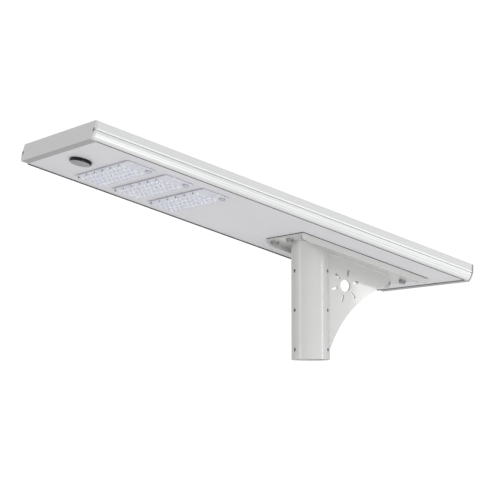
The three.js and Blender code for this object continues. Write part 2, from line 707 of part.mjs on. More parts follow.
function mountingPlate() {
  const half = PLATE_WIDTH / 2;
  const plate = box([PLATE_FRONT, PLATE_REAR], [-half, half], [PLATE_BOTTOM, -FIT]);
  const skirts = [-half + PLATE_THICKNESS, half].map((y) =>
    prism(skirtProfile(), PLATE_THICKNESS, ALONG_Y, 5).translate(0, y, 0),
  );
  const through = [PLATE_BOTTOM - OVERSHOOT, OVERSHOOT];
  const holes = boltPlaces().map(([x, y]) => rod(x, y, BOLT_RADIUS + BOLT_CLEARANCE, through, 12));
  return cut(join(plate, skirts), holes);
}

function mountingBolt() {
  const flangeTop = PLATE_BOTTOM - FIT;
  const flangeBottom = flangeTop - BOLT_FLANGE;
  const headBottom = flangeBottom - BOLT_HEAD;
  const corner = BOLT_FLATS / Math.sqrt(3);
  const flange = rod(0, 0, BOLT_FLANGE_RADIUS, [flangeBottom, flangeTop], 20);
  const shank = rod(0, 0, BOLT_RADIUS, [flangeBottom, BOLT_TIP], 12);
  const crown = revolve(
    [
      [0, headBottom],
      [corner - BOLT_BEVEL, headBottom],
      [corner + BOLT_BEVEL / 2, headBottom + BOLT_BEVEL],
      [corner + BOLT_BEVEL / 2, flangeTop],
      [0, flangeTop],
    ],
    20,
  );
  const head = hexagon(BOLT_FLATS, [headBottom, flangeBottom + FIT]);
  const bevelled = surface(solid(head).intersect(solid(crown)));
  return join(bevelled, [flange, shank]);
}

// Height, in the lamp's frame, of the plane just under the mounting plate
function seatHeight(x) {
  return SLEEVE_HEIGHT + (PLATE_BOTTOM - FIT - x * Math.sin(TILT)) / Math.cos(TILT);
}

function setScrewPlaces() {
  const places = [];
  for (const [column, angle] of Object.entries(SET_SCREW_COLUMNS)) {
    for (let row = 0; row < SET_SCREW_ROWS; row += 1) {
      const height = SET_SCREW_FIRST_ROW + row * SET_SCREW_ROW_PITCH;
      places.push({ name: `set_screw_${column}_${row + 1}`, angle, height });
    }
  }
  return places;
}

function poleSleeve() {
  const top = seatHeight(-SLEEVE_RADIUS) + OVERSHOOT;
  const inner = SLEEVE_RADIUS - SLEEVE_WALL;
  const tubeWall = ring(SLEEVE_RADIUS, inner, [0, top], 64);
  const reach = 3 * SLEEVE_RADIUS;
  const above = box([-reach, reach], [-reach, reach], [PLATE_BOTTOM - FIT, 2 * reach]);
  const tools = [above.rotateY(TILT).translate(0, 0, SLEEVE_HEIGHT)];
  for (const { angle, height } of setScrewPlaces()) {
    const span = [inner - OVERSHOOT, SLEEVE_RADIUS + OVERSHOOT];
    const hole = alongX(SET_SCREW_RADIUS + SET_SCREW_CLEARANCE, span, 0, 0, 12);
    tools.push(hole.rotateZ(angle).translate(0, 0, height));
  }
  return cut(tubeWall, tools);
}

// The gusset's outline in the lamp's X-Z plane: toe, concave arc, rear edge, then back along the plate
function gussetProfile() {
  const wall = SLEEVE_RADIUS + FIT;
  const rear = SLEEVE_RADIUS + GUSSET_REACH;
  const toe = new THREE.Vector2(wall + GUSSET_TOE_LENGTH, GUSSET_TOE_HEIGHT);
  const heel = new THREE.Vector2(rear, seatHeight(rear) - GUSSET_HEEL);
  const chord = heel.clone().sub(toe);
  const half = chord.length() / 2;
  const radius = (half * half + GUSSET_SAG * GUSSET_SAG) / (2 * GUSSET_SAG);
  const outward = new THREE.Vector2(chord.y, -chord.x).normalize();
  const centre = toe.clone().add(heel).multiplyScalar(0.5);
  centre.addScaledVector(outward, radius - GUSSET_SAG);
  const from = toe.clone().sub(centre).angle();
  const to = heel.clone().sub(centre).angle();
  const shape = new THREE.Shape();
  shape.moveTo(wall, GUSSET_TOE_HEIGHT);
  shape.lineTo(toe.x, toe.y);
  shape.absarc(centre.x, centre.y, radius, from, to, true);
  shape.lineTo(rear, seatHeight(rear));
  shape.lineTo(wall, seatHeight(wall));
  return shape;
}

// A plain round hole with straight round-ended slots set radially round it
function gussetCutOuts() {
  const x = SLEEVE_RADIUS + MOTIF_FROM_SLEEVE;
  const z = seatHeight(x) - MOTIF_BELOW_PLATE;
  const cutOuts = [disc(0, 0, MOTIF_HOLE, 28)];
  const half = MOTIF_SLOT_WIDTH / 2;
  for (let i = 0; i < MOTIF_SLOTS; i += 1) {
    const slot = new THREE.Path();
    slot.absarc(MOTIF_SLOT_START + half, 0, half, Math.PI / 2, 1.5 * Math.PI, false);
    slot.absarc(MOTIF_SLOT_END - half, 0, half, -Math.PI / 2, Math.PI / 2, false);
    const turn = MOTIF_TURN + (i * 2 * Math.PI) / MOTIF_SLOTS;
    const points = slot.getPoints(3).map((p) => p.rotateAround(new THREE.Vector2(), turn));
    cutOuts.push(new THREE.Path(points));
  }
  const centre = new THREE.Vector2(x, z);
  return cutOuts.map((path) => new THREE.Path(path.getPoints().map((p) => p.add(centre))));
}

function gusset() {
  const shape = gussetProfile();
  shape.holes.push(...gussetCutOuts());
  return prism(shape, GUSSET_THICKNESS, ALONG_Y, 20).translate(0, GUSSET_THICKNESS / 2, 0);
}

// A set screw along +X with its outer face at x = 0, standing inwards towards -X
function setScrew() {
  const tip = -SET_SCREW_LENGTH;
  const body = revolve(
    [
      [0, tip],
      [SET_SCREW_RADIUS - SET_SCREW_CHAMFER, tip],
      [SET_SCREW_RADIUS, tip + SET_SCREW_CHAMFER],
      [SET_SCREW_RADIUS, 0],
      [0, 0],
    ],
    12,
  );
  const socket = hexagon(SET_SCREW_SOCKET_FLATS, [-SET_SCREW_SOCKET_DEPTH, OVERSHOOT]);
  return cut(body, [socket]).rotateY(Math.PI / 2);
}

// Materials
const FINISHES = {
  anodised: { color: 0xe2e4e4, metalness: 0.75, roughness: 0.4 },
  capPaint: { color: 0xc9cbca, metalness: 0.1, roughness: 0.5 },
  panelPaint: { color: 0xd2d1d8, metalness: 0.1, roughness: 0.45 },
  bracketPaint: { color: 0xdadddb, metalness: 0.1, roughness: 0.35 },
  steel: { color: 0xb4b6b8, metalness: 0.9, roughness: 0.35 },
  darkSteel: { color: 0x4b4c4e, metalness: 0.8, roughness: 0.45 },
  rubber: { color: 0x2c2c2e, metalness: 0, roughness: 0.8 },
  glass: { color: 0x1c2740, metalness: 0, roughness: 0.08 },
  cells: { color: 0x14203c, metalness: 0.1, roughness: 0.35 },
  lens: { color: 0xdde3f2, metalness: 0, roughness: 0.12 },
  board: { color: 0xe8eaee, metalness: 0.1, roughness: 0.5 },
  sink: { color: 0xb9bcbe, metalness: 0.85, roughness: 0.45 },
  gland: { color: 0x9a9ca4, metalness: 0, roughness: 0.4 },
  sensor: { color: 0x0c0c0e, metalness: 0, roughness: 0.12 },
  battery: { color: 0x2a5aa8, metalness: 0, roughness: 0.35 },
  plastic: { color: 0x1e1f21, metalness: 0, roughness: 0.5 },
};

// Assembly
const lamp = new THREE.Group();
const head = new THREE.Group();
head.position.set(0, 0, SLEEVE_HEIGHT);
head.rotation.y = TILT;
lamp.add(head);

function place(parent, name, geometry, finish) {
  const mesh = new THREE.Mesh(geometry, new THREE.MeshStandardMaterial(FINISHES[finish]));
  mesh.name = name;
  parent.add(mesh);
  return mesh;
}

function buildShell() {
  place(head, "side_rail_near", sideRail(-1), "anodised");
  place(head, "side_rail_far", sideRail(1), "anodised");
  place(head, "bottom_panel", bottomPanel(), "panelPaint");
  place(head, "solar_glass", solarSheet(GLASS_TOP, GLASS_THICKNESS), "glass");
  place(head, "solar_laminate", solarSheet(LAMINATE_TOP, LAMINATE_THICKNESS), "cells");
  place(head, "pv_junction_box", junctionBox(), "plastic");
}

function buildEnds() {
  const ends = { front: { x: FRONT, turn: 0 }, rear: { x: REAR, turn: Math.PI } };
  for (const [end, { x, turn }] of Object.entries(ends)) {
    const group = new THREE.Group();
    group.position.x = x;
    group.rotation.z = turn;
    head.add(group);
    place(group, `end_cap_${end}`, endCap(), "capPaint");
    place(group, `end_gasket_${end}`, endGasket(), "rubber");
    for (const side of ["near", "far"]) {
      const screw = place(group, `end_cap_screw_${end}_${side}`, capScrew(), "darkSteel");
      const outward = (side === "far" ? 1 : -1) * (end === "rear" ? -1 : 1);
      screw.position.set(0, outward * (HALF + CAP_SCREW_OFFSET), CAP_SCREW_HEIGHT);
    }
  }
}

function buildModules() {
  for (let i = 0; i < MODULE_COUNT; i += 1) {
    const module = new THREE.Group();
    module.position.x = moduleCentre(i);
    head.add(module);
    place(module, `led_lens_${i + 1}`, ledLens(), "lens");
    place(module, `led_gasket_${i + 1}`, ledGasket(), "rubber");
    place(module, `led_board_${i + 1}`, ledBoard(), "board");
    place(module, `led_heat_sink_${i + 1}`, ledHeatSink(), "sink");
    place(module, `led_cable_gland_${i + 1}`, cableGland(), "gland");
  }
}

function buildSensor() {
  const sensor = new THREE.Group();
  sensor.position.x = FRONT + SENSOR_SETBACK;
  head.add(sensor);
  const gasket = ring(
    SENSOR_RADIUS - SENSOR_GASKET_INSET,
    SENSOR_STEM_RADIUS + FIT,
    [-FIT - SENSOR_GASKET_THICKNESS, -FIT],
  );
  place(sensor, "sensor_cover", sensorCover(), "sensor");
  place(sensor, "sensor_gasket", gasket, "rubber");
  place(sensor, "sensor_nut", sensorNut(), "plastic");
  place(sensor, "sensor_board", sensorBoard(), "board");
}

function buildElectrics() {
  place(head, "battery_pack_near", batteryPack(-1), "battery");
  place(head, "battery_pack_far", batteryPack(1), "battery");
  for (const [end, x] of Object.entries(strapPlaces())) {
    place(head, `battery_strap_${end}`, batteryStrap(x), "steel");
  }
  place(head, "charge_controller", chargeController(), "plastic");
  place(head, "lighting_loom", lightingLoom(), "rubber");
  place(head, "battery_loom", batteryLoom(), "rubber");
  place(head, "solar_loom", solarLoom(), "rubber");
}

function buildBracket() {
  place(head, "backing_plate", backingPlate(), "steel");
  place(head, "mounting_plate", mountingPlate(), "bracketPaint");
  for (const [row, x] of Object.entries(BOLT_ROWS)) {
    for (const [column, y] of Object.entries(BOLT_COLUMNS)) {
      const bolt = place(head, `mounting_bolt_${row}_${column}`, mountingBolt(), "steel");
      bolt.position.set(x, y, 0);
    }
  }
  place(lamp, "pole_sleeve", poleSleeve(), "bracketPaint");
  place(lamp, "gusset_plate", gusset(), "bracketPaint");
  for (const { name, angle, height } of setScrewPlaces()) {
    const holder = new THREE.Group();
    holder.position.z = height;
    holder.rotation.z = angle;
    lamp.add(holder);
    const screw = place(holder, name, setScrew(), "darkSteel");
    screw.position.x = SLEEVE_RADIUS - FIT;
  }
}

buildShell();
buildEnds();
buildModules();
buildSensor();
buildElectrics();
buildBracket();

export default lamp;
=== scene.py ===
import json
import math
import random

import bmesh
import bpy
from mathutils import Matrix, Vector
from mathutils.geometry import convex_hull_2d

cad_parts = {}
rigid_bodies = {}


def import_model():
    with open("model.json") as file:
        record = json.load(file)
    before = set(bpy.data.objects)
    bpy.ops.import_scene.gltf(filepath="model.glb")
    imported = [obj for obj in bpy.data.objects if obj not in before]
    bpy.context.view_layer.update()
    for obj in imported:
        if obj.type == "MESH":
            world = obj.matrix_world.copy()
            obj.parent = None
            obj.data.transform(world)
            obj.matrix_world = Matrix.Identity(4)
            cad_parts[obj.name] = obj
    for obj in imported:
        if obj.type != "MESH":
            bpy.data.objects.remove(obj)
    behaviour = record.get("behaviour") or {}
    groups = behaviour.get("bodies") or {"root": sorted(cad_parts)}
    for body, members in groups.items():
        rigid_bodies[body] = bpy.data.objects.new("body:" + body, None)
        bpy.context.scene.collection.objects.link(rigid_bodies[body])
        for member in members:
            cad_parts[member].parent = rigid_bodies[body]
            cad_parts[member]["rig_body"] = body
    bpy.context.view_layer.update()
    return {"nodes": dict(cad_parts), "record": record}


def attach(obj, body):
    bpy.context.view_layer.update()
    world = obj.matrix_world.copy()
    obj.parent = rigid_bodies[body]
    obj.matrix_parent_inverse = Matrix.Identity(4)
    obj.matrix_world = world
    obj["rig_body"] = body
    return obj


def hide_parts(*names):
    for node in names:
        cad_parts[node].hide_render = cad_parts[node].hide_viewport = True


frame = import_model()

# A solar street lamp. Lengths are metres, in the lamp's frame: origin at the centre of the sleeve's lower
# rim, +Z up along the sleeve, -X to the lit end, +Y to the far side.
MM = 0.001
BODY = "lamp"

# The head's own frame, where z = 0 is its underside
TILT = math.radians(13.8)
SLEEVE_HEIGHT = 250 * MM
HEAD = Matrix.Translation((0, 0, SLEEVE_HEIGHT)) @ Matrix.Rotation(TILT, 4, "Y")

# Shading, and the rounding of the CAD nodes' edges
SHARP_ANGLE = math.radians(32)
BEVEL_ANGLE = math.radians(38)
BEVEL_SEGMENTS = 2
EDGE_RADIUS = 0.35 * MM
SMALL_EDGE_RADIUS = 0.3 * MM
FLAT_ANGLE = math.radians(0.6)
SAME_PLACE = 1e-6
NEARLY_ZERO = 1e-9
ROUNDED_NODES = (
    "end_cap_front",
    "end_cap_rear",
    "mounting_plate",
    "gusset_plate",
    "side_rail_near",
    "side_rail_far",
)
SMALL_ROUNDED_NODES = ("mounting_bolt", "led_cable_gland")

# Finishes: the band that most of a noise's values lie in, narrow and wide; the cosine between the rounded
# and the true normal, on the flat and on an edge
NARROW = (0.35, 0.65)
WIDE = (0.3, 0.7)
EDGE_COSINES = (0.995, 0.9)
BEVEL_SAMPLES = 4

# Heights between which the painted shade on an end cap's turned-under edge fades out, from the head's
# underside
LIP_SHADE_FADE = (0.2 * MM, 1.6 * MM)

# Side rails: the groove and the ridge above it, as heights from the head's underside, and the fine lines;
# the groove, the upper band and the fine lines get painted shade, the ridge a painted highlight
GROOVE_BOTTOM = 17.4 * MM
GROOVE_TOP = 19.5 * MM
RIDGE_TOP = 21.6 * MM
RIDGE_ROUND = 0.8 * MM
REED_PITCH = 4.3 * MM
REED_WIDTH = 0.9 * MM

# Solar cells
CELL_PITCH = (52.2 * MM, 154 * MM)
CELL_GAP = 1.1 * MM
BUSBAR_PITCH = 30.8 * MM
BUSBAR_WIDTH = 1.1 * MM
FINGER_PITCH = 1.9 * MM
FINGER_WIDTH = 0.12 * MM

# LED modules
MODULES = (1, 2, 3)
LENS_SIZE = (66 * MM, 231 * MM)
LENS_CORNER = 5 * MM
LENS_CORNER_STEPS = 6
LENS_EAR = 33 * MM
LENS_RIM = 6 * MM
DOME_RADIUS = 6 * MM
DOME_HEIGHT = 4 * MM
DOME_PITCH = (13.6 * MM, 17.5 * MM)
DOME_GRID = (4, 11)
DOME_RINGS = 5
DOME_FULLNESS = 0.62
THIRDS = (0.33, 0.67)
GLAND_HOLE = 5.1 * MM
GLAND_HOLE_SIDES = 24
GLAND_INSET = 11 * MM
LED_SIZE = 3.4 * MM
LED_BASE = 0.5 * MM
LED_TOP = 0.35 * MM
LED_TOP_SHARE = 0.72
LED_GAP = 0.02 * MM
CLIP_PITCH = 35 * MM
CLIP_COUNT = 6
CLIP_SIZE = (2.2 * MM, 1.2 * MM, 4.2 * MM)
CLIP_LEAN = 0.4 * MM
CLIP_SINK = 0.2 * MM
CLIP_INSET = 1.2 * MM
CLIP_EDGE = 0.25 * MM
CLIP_EDGE_PROFILE = 0.6

# Sleeve
SLEEVE_RADIUS = 41.5 * MM
SLEEVE_WALL = 3 * MM
SLEEVE_SIDES = 144
SLEEVE_EDGE = 0.4 * MM
SLEEVE_BEVEL_ANGLE = math.radians(45)
PLATE_UNDERSIDE = -4.3 * MM
FIT = 0.3 * MM
SCREW_COLUMNS = {"front": math.pi, "near": -math.pi / 3, "far": math.pi / 3}
SCREW_HEIGHTS = [21 * MM, 106 * MM, 191 * MM]
SCREW_HOLE = 4.1 * MM
SCREW_HOLE_SIDES = 24
SCREW_HOLE_DEPTH = 6 * SLEEVE_WALL

# Welds
BEAD_SECTION = 8
WELD_RADIUS = 1.7 * MM
WELD_STEP = 0.55 * MM
WELD_SINK = 0.3 * MM
WELD_WANDER = 0.03
RIPPLE_PITCH = 2.2 * MM
RIPPLE_DEPTH = 0.12
TAPER_START = 0.25
TAPER_STEP = 0.15
WELD_STOP = 2 * MM
WELD_CORNER = 3 * MM
GUSSET_HALF = 2.5 * MM
GUSSET_REAR = 210.5 * MM
GUSSET_TOE = 18 * MM

# Black beads of painted shade along the panel's and the plate's joints: each along the panel has a radius
# and a height in the head
SHADE_BEAD_STEP = 3 * MM
SHADE_BEAD_WANDER = 0.06
SHADE_BEAD_OFFSET = 0.45 * MM
NEAR_SHADE_BEAD = (0.8 * MM, -0.2 * MM)
FAR_SHADE_BEAD = (1.2 * MM, -0.95 * MM)
REAR_SHADE_BEAD = (0.9 * MM, -0.3 * MM)
PLATE_SHADE_BEAD_RADIUS = 1.15 * MM
JOINT_SEAL_INSET = 0.2 * MM
JOINT_SEAL_DEPTH = 3 * MM
JOINT_SEAL_REACH = 0.8 * FIT
OUTLINE_STEP = 0.2 * MM

# Sensor
SENSOR_SIDES = 72
SENSOR_CROWN = 0.5 * MM
SENSOR_CROWN_CURVE = ((0.0, 0.0), (0.3, 0.08), (0.6, 0.35))
SENSOR_ROUNDING = 3 * MM
SENSOR_STEPS = 8
SENSOR_RIM = (0.4 * MM, 0.5 * MM)
FACE_REFLECTION_DEPTH = 0.75 * MM

# Camera; its lens and sensor are in millimetres
CAMERA_PLACE = Vector((-2.0317, -2.9535, -0.1507))
CAMERA_HEADING = math.radians(32.43)
CAMERA_PITCH = math.radians(6.2)
CAMERA_LENS = 119.4
CAMERA_SENSOR = 36
CAMERA_REACH = 200

# Floor
FLOOR_HEIGHT = -3.0
FLOOR_RADIUS = 40.0
FLOOR_SIDES = 64

# Lamps of the studio: degrees to the right of the camera, distance, height, target, size and power
STUDIO = {
    "strip_right": (72, 3.0, -0.5, (0.0, 0.0, 0.15), (0.2, 2.8), 11),
    "strip_left": (-67, 3.0, -0.1, (0.0, 0.0, 0.15), (0.14, 2.6), 6),
    "fill": (22, 3.6, -1.9, (-0.15, 0.0, 0.25), (2.6, 1.6), 58),
}

# Room light ahead of the camera and above: the span over which it changes, and its strength at either end
ROOM_AHEAD = (-0.5, 0.6, 1.0, 0.6)
ROOM_ABOVE = (0.1, 0.9, 1.0, 0.85)

# Strength of the white backdrop that the camera sees
BACKDROP = 1.04

SEED = 7

random.seed(SEED)
scene = bpy.context.scene
nodes = frame["nodes"]


# ---------------------------------------------------------------- node helpers
class Tree:
    """A material's node tree, with short calls to add and join nodes."""

    def __init__(self, name):
        self.material = bpy.data.materials.new(name)
        self.material.use_nodes = True
        self.nodes = self.material.node_tree.nodes
        self.links = self.material.node_tree.links
        self.nodes.clear()
        self.output = self.nodes.new("ShaderNodeOutputMaterial")
        self.shader = self.nodes.new("ShaderNodeBsdfPrincipled")
        self.links.new(self.shader.outputs[0], self.output.inputs["Surface"])

    def add(self, kind, inputs=None, out=0, **settings):
        made = self.nodes.new(kind)
        for key, value in settings.items():
            setattr(made, key, value)
        for key, value in (inputs or {}).items():
            self.feed(made.inputs[key], value)
        return made.outputs[out]

    def feed(self, socket, value):
        if isinstance(value, bpy.types.NodeSocket):
            self.links.new(value, socket)
        else:
            socket.default_value = value

    def set(self, **values):
        """Sets or feeds the shader's own sockets."""
        for key, value in values.items():
            self.feed(self.shader.inputs[key.replace("_", " ")], value)

    def place(self, tilted):
        """Object coordinates, turned into the head's frame if tilted."""
        spot = self.add("ShaderNodeTexCoord", out="Object")
        if not tilted:
            return spot
        inputs = {0: spot, 1: (0, 0, SLEEVE_HEIGHT)}
        lowered = self.add("ShaderNodeVectorMath", inputs, operation="SUBTRACT")
        inputs = {"Vector": lowered, "Angle": -TILT}
        return self.add("ShaderNodeVectorRotate", inputs, rotation_type="Y_AXIS")

    def axis(self, spot, index):
        return self.add("ShaderNodeSeparateXYZ", {0: spot}, out=index)

    def stretch(self, spot, scale):
        return self.add("ShaderNodeVectorMath", {0: spot, 1: scale}, operation="MULTIPLY")

    def noise(self, spot, scale, detail=2.0, rough=0.5):
        inputs = {"Vector": spot, "Scale": scale, "Detail": detail, "Roughness": rough}
        return self.add("ShaderNodeTexNoise", inputs)

    def spread(self, value, low, high, to_low, to_high):
        inputs = {"Value": value, 1: low, 2: high, 3: to_low, 4: to_high}
        return self.add("ShaderNodeMapRange", inputs)

    def mix(self, factor, a, b):
        return self.add("ShaderNodeMix", {0: factor, 6: a, 7: b}, out=2, data_type="RGBA")

    def blend(self, value, band, a, b):
        """Colour a at the band's low end, b at its high end."""
        return self.mix(self.spread(value, *band, 0, 1), a, b)

    def math(self, operation, a, b=0.0):
        return self.add("ShaderNodeMath", {0: a, 1: b}, operation=operation)

    def within(self, value, low, high):
        """1 between the two limits, 0 elsewhere."""
        above = self.math("GREATER_THAN", value, low)
        return self.math("MULTIPLY", above, self.math("LESS_THAN", value, high))

    def stripes(self, value, pitch, width):
        """1 on stripes of a width, repeated at a pitch."""
        turn = self.math("FRACT", self.math("DIVIDE", value, pitch))
        return self.math("LESS_THAN", turn, width / pitch)

    def bump(self, height, distance, strength=1.0, base=None):
        inputs = {"Height": height, "Distance": distance, "Strength": strength}
        if base is not None:
            inputs["Normal"] = base
        return self.add("ShaderNodeBump", inputs)

    def soft_normal(self, radius):
        return self.add("ShaderNodeBevel", {"Radius": radius}, samples=BEVEL_SAMPLES)

    def edge(self, radius, strength):
        """The strength on convex and concave edges, 0 on the flat."""
        inputs = {0: self.soft_normal(radius), 1: self.add("ShaderNodeNewGeometry", out="True Normal")}
        dot = self.add("ShaderNodeVectorMath", inputs, out="Value", operation="DOT_PRODUCT")
        return self.spread(dot, *EDGE_COSINES, 0.0, strength)


def tint(colour, factor):
    return tuple(min(1.0, c * factor) for c in colour[:3]) + (1.0,)


# ---------------------------------------------------------------- finishes
def powder_coat(name, colour, roughness, peel, tilted=False, coat=0.0, lip_shade=None):
    """Sprayed paint: faint tone drift, pinprick speckle and orange peel, lighter over the edges, partly as
    thinner paint and partly as a painted highlight.

    With lip_shade, the edge turned under at the underside has that share of the tone, as painted shade."""
    t = Tree(name)
    spot = t.place(tilted)
    drift = t.noise(spot, 5.0, 3.0)
    speckle = t.noise(spot, 1400.0, 2.0)
    dimples = t.noise(spot, 420.0, 3.0)
    fine = t.noise(spot, 2600.0, 1.0)
    toned = t.blend(drift, NARROW, tint(colour, 0.975), tint(colour, 1.02))
    dusted = t.mix(t.spread(speckle, 0.6, 0.75, 0, 0.35), toned, tint(colour, 0.9))
    # Lighter edges, convex and concave: partly thinner paint, partly a painted highlight.
    painted = t.mix(t.edge(0.8 * MM, 0.3), dusted, tint(colour, 1.08))
    if lip_shade is not None:
        # Painted shade: darkens the cap's edge where it turns under at the underside.
        under = t.spread(t.axis(spot, 2), *LIP_SHADE_FADE, 1.0, 0.0)
        painted = t.mix(under, painted, tint(colour, lip_shade))
    t.set(Base_Color=painted)
    t.set(Roughness=t.spread(dimples, *WIDE, roughness - 0.05, roughness + 0.05))
    t.set(Coat_Weight=coat, Coat_Roughness=0.06)
    height = t.math("ADD", dimples, t.math("MULTIPLY", fine, 0.4))
    t.set(Normal=t.bump(height, peel, 0.6, t.soft_normal(0.5 * MM)))
    return t.material


def extruded(name, colour, roughness):
    """Satin anodised extrusion: die lines, the fine reeds as dark lines of painted shade, an upper band
    darkened by painted shade, a painted highlight on the ridge, painted shade in the groove.
    """
    t = Tree(name)
    spot = t.place(True)
    height = t.axis(spot, 2)
    lines = t.noise(t.stretch(spot, (2.5, 900.0, 900.0)), 1.0, 3.0, 0.6)
    broad = t.noise(t.stretch(spot, (0.7, 260.0, 260.0)), 1.0, 2.0)
    cloud = t.noise(spot, 9.0, 3.0)
    grain = t.noise(spot, 1800.0, 2.0)
    lined = t.blend(lines, WIDE, tint(colour, 0.93), tint(colour, 1.05))
    banded = t.mix(t.spread(broad, 0.4, 0.6, 0, 0.8), lined, tint(colour, 0.8))
    clouded = t.mix(t.spread(cloud, 0.4, 0.7, 0, 0.35), banded, tint(colour, 1.03))
    # Painted shade: the band above the ridge is darkened.
    upper = t.spread(height, RIDGE_TOP, RIDGE_TOP + 1 * MM, 0.0, 0.85)
    upper_shaded = t.mix(upper, clouded, tint(colour, 0.93))
    # Painted shade: dark lines at the reeds' pitch, standing for the shading of the fine ribs.
    reed_shade = t.math("MULTIPLY", t.stripes(height, REED_PITCH, REED_WIDTH), 0.8)
    reed_shaded = t.mix(reed_shade, upper_shaded, tint(colour, 0.7))
    # Painted highlight: the ridge below the upper band is made pale.
    ridge_highlight = t.within(height, GROOVE_TOP, RIDGE_TOP + RIDGE_ROUND)
    ridge_highlighted = t.mix(ridge_highlight, reed_shaded, (0.9, 0.9, 0.9, 1))
    # Painted shade: the groove is darkened.
    groove_shade = t.math("MULTIPLY", t.within(height, GROOVE_BOTTOM, GROOVE_TOP), 0.35)
    t.set(Base_Color=t.mix(groove_shade, ridge_highlighted, tint(colour, 0.45)), Metallic=0.4)
    t.set(Roughness=t.spread(lines, 0.25, 0.75, roughness - 0.06, roughness + 0.08))
    relief = t.math("ADD", lines, t.math("MULTIPLY", grain, 0.35))
    t.set(Normal=t.bump(relief, 0.05 * MM, 0.5, t.soft_normal(0.35 * MM)))
    return t.material


def metal(name, colour, roughness, scale=700.0, dark=0.8, rub=0.5):
    """Plated or blackened steel: mottled plating, fine scratches, brighter on rubbed edges."""
    t = Tree(name)
    spot = t.place(False)
    mottle = t.noise(spot, scale, 4.0, 0.6)
    scratch = t.noise(t.stretch(spot, (3000.0, 260.0, 900.0)), 1.0, 2.0)
    toned = t.blend(mottle, NARROW, tint(colour, dark), colour)
    t.set(Base_Color=t.mix(t.edge(0.4 * MM, rub), toned, tint(colour, 1.35)), Metallic=1.0)
    t.set(Roughness=t.spread(scratch, *WIDE, roughness - 0.08, roughness + 0.12))
    t.set(Normal=t.bump(t.math("ADD", mottle, scratch), 0.04 * MM, 0.5, t.soft_normal(0.3 * MM)))
    return t.material


def moulded(name, colour, roughness, grain, depth=0.05 * MM):
    """Moulded plastic or rubber: fine spark-eroded grain with slight tone drift."""
    t = Tree(name)
    spot = t.place(False)
    drift = t.noise(spot, 30.0, 3.0)
    texture = t.noise(spot, grain, 3.0, 0.6)
    toned = t.blend(drift, NARROW, tint(colour, 0.9), tint(colour, 1.08))
    t.set(Base_Color=t.mix(t.spread(texture, 0.55, 0.75, 0, 0.4), toned, tint(colour, 1.25)))
    t.set(Roughness=t.spread(texture, *WIDE, roughness - 0.06, roughness + 0.08))
    t.set(Normal=t.bump(texture, depth, 0.6, t.soft_normal(0.3 * MM)))
    return t.material


def gloss_black(name):
    """Polished black plastic with faint moulding waviness and dust."""
    t = Tree(name)
    spot = t.place(True)
    wave = t.noise(spot, 60.0, 2.0)
    dust = t.noise(spot, 2200.0, 2.0)
    black, grey = (0.006, 0.006, 0.007, 1), (0.05, 0.05, 0.055, 1)
    t.set(Base_Color=t.mix(t.spread(dust, 0.66, 0.8, 0, 0.5), black, grey))
    t.set(Roughness=t.spread(dust, 0.4, 0.8, 0.07, 0.16), Specular_IOR_Level=0.26)
    t.set(Normal=t.bump(wave, 0.05 * MM, 0.5))
    return t.material


def sensor_face_reflection(name):
    """Grey painted reflection of the sensor's glossy face, with a fine matt grain."""
    t = Tree(name)
    spot = t.place(True)
    grain = t.noise(spot, 1500.0, 3.0)
    tone = t.noise(spot, 45.0, 3.0)
    grey = t.blend(tone, NARROW, (0.27, 0.27, 0.275, 1), (0.33, 0.33, 0.335, 1))
    t.set(Base_Color=t.mix(t.spread(grain, 0.4, 0.7, 0, 0.3), grey, (0.4, 0.4, 0.41, 1)))
    t.set(Roughness=t.spread(grain, *WIDE, 0.35, 0.5), Normal=t.bump(grain, 0.03 * MM, 0.5))
    return t.material


def clear_lens(name):
    """Optical plastic, very slightly blue, with faint flow lines."""
    t = Tree(name)
    spot = t.place(True)
    flow = t.noise(t.stretch(spot, (120.0, 30.0, 120.0)), 1.0, 3.0)
    haze = t.noise(spot, 900.0, 2.0)
    t.set(Base_Color=t.blend(flow, NARROW, (0.86, 0.88, 1, 1), (0.96, 0.97, 1, 1)))
    t.set(Transmission_Weight=0.3, IOR=1.49, Roughness=t.spread(haze, *WIDE, 0.04, 0.1))
    t.set(Normal=t.bump(flow, 0.06 * MM, 0.4))
    return t.material


def solar_glass(name):
    """Low-iron tempered glass with a fine prismatic surface."""
    t = Tree(name)
    spot = t.place(True)
    prism = t.add("ShaderNodeTexVoronoi", {"Vector": spot, "Scale": 750.0})
    dust = t.noise(spot, 40.0, 4.0)
    t.set(Base_Color=t.blend(dust, (0.4, 0.7), (0.93, 0.97, 0.96, 1), (0.97, 0.99, 0.98, 1)))
    t.set(Transmission_Weight=0.96, IOR=1.5, Roughness=t.spread(dust, 0.4, 0.75, 0.03, 0.12))
    t.set(Normal=t.bump(prism, 0.03 * MM, 0.25, t.soft_normal(0.4 * MM)))
    return t.material


def solar_cells(name):
    """Mono-crystalline cells in two rows, with silver fingers and busbars on a white sheet."""
    t = Tree(name)
    spot = t.place(True)
    along, across = t.axis(spot, 0), t.axis(spot, 1)

    def cell_edge(value, pitch):
        turn = t.math("FRACT", t.math("DIVIDE", value, pitch))
        from_middle = t.math("ABSOLUTE", t.math("SUBTRACT", turn, 0.5))
        return t.math("GREATER_THAN", from_middle, 0.5 - CELL_GAP / pitch)

    outside = t.math("MAXIMUM", cell_edge(along, CELL_PITCH[0]), cell_edge(across, CELL_PITCH[1]))
    busbar = t.stripes(across, BUSBAR_PITCH, BUSBAR_WIDTH)
    finger = t.math("MULTIPLY", t.stripes(along, FINGER_PITCH, FINGER_WIDTH), 0.5)
    crystal = t.noise(spot, 22.0, 3.0)
    silicon = t.blend(crystal, WIDE, (0.006, 0.011, 0.035, 1), (0.012, 0.02, 0.06, 1))
    printed = t.mix(t.math("MAXIMUM", busbar, finger), silicon, (0.6, 0.62, 0.64, 1))
    t.set(Base_Color=t.mix(outside, printed, (0.66, 0.68, 0.7, 1)))
    t.set(Roughness=t.spread(crystal, *WIDE, 0.3, 0.42))
    t.set(Normal=t.bump(t.math("MAXIMUM", busbar, outside), 0.05 * MM, 0.4))
    return t.material


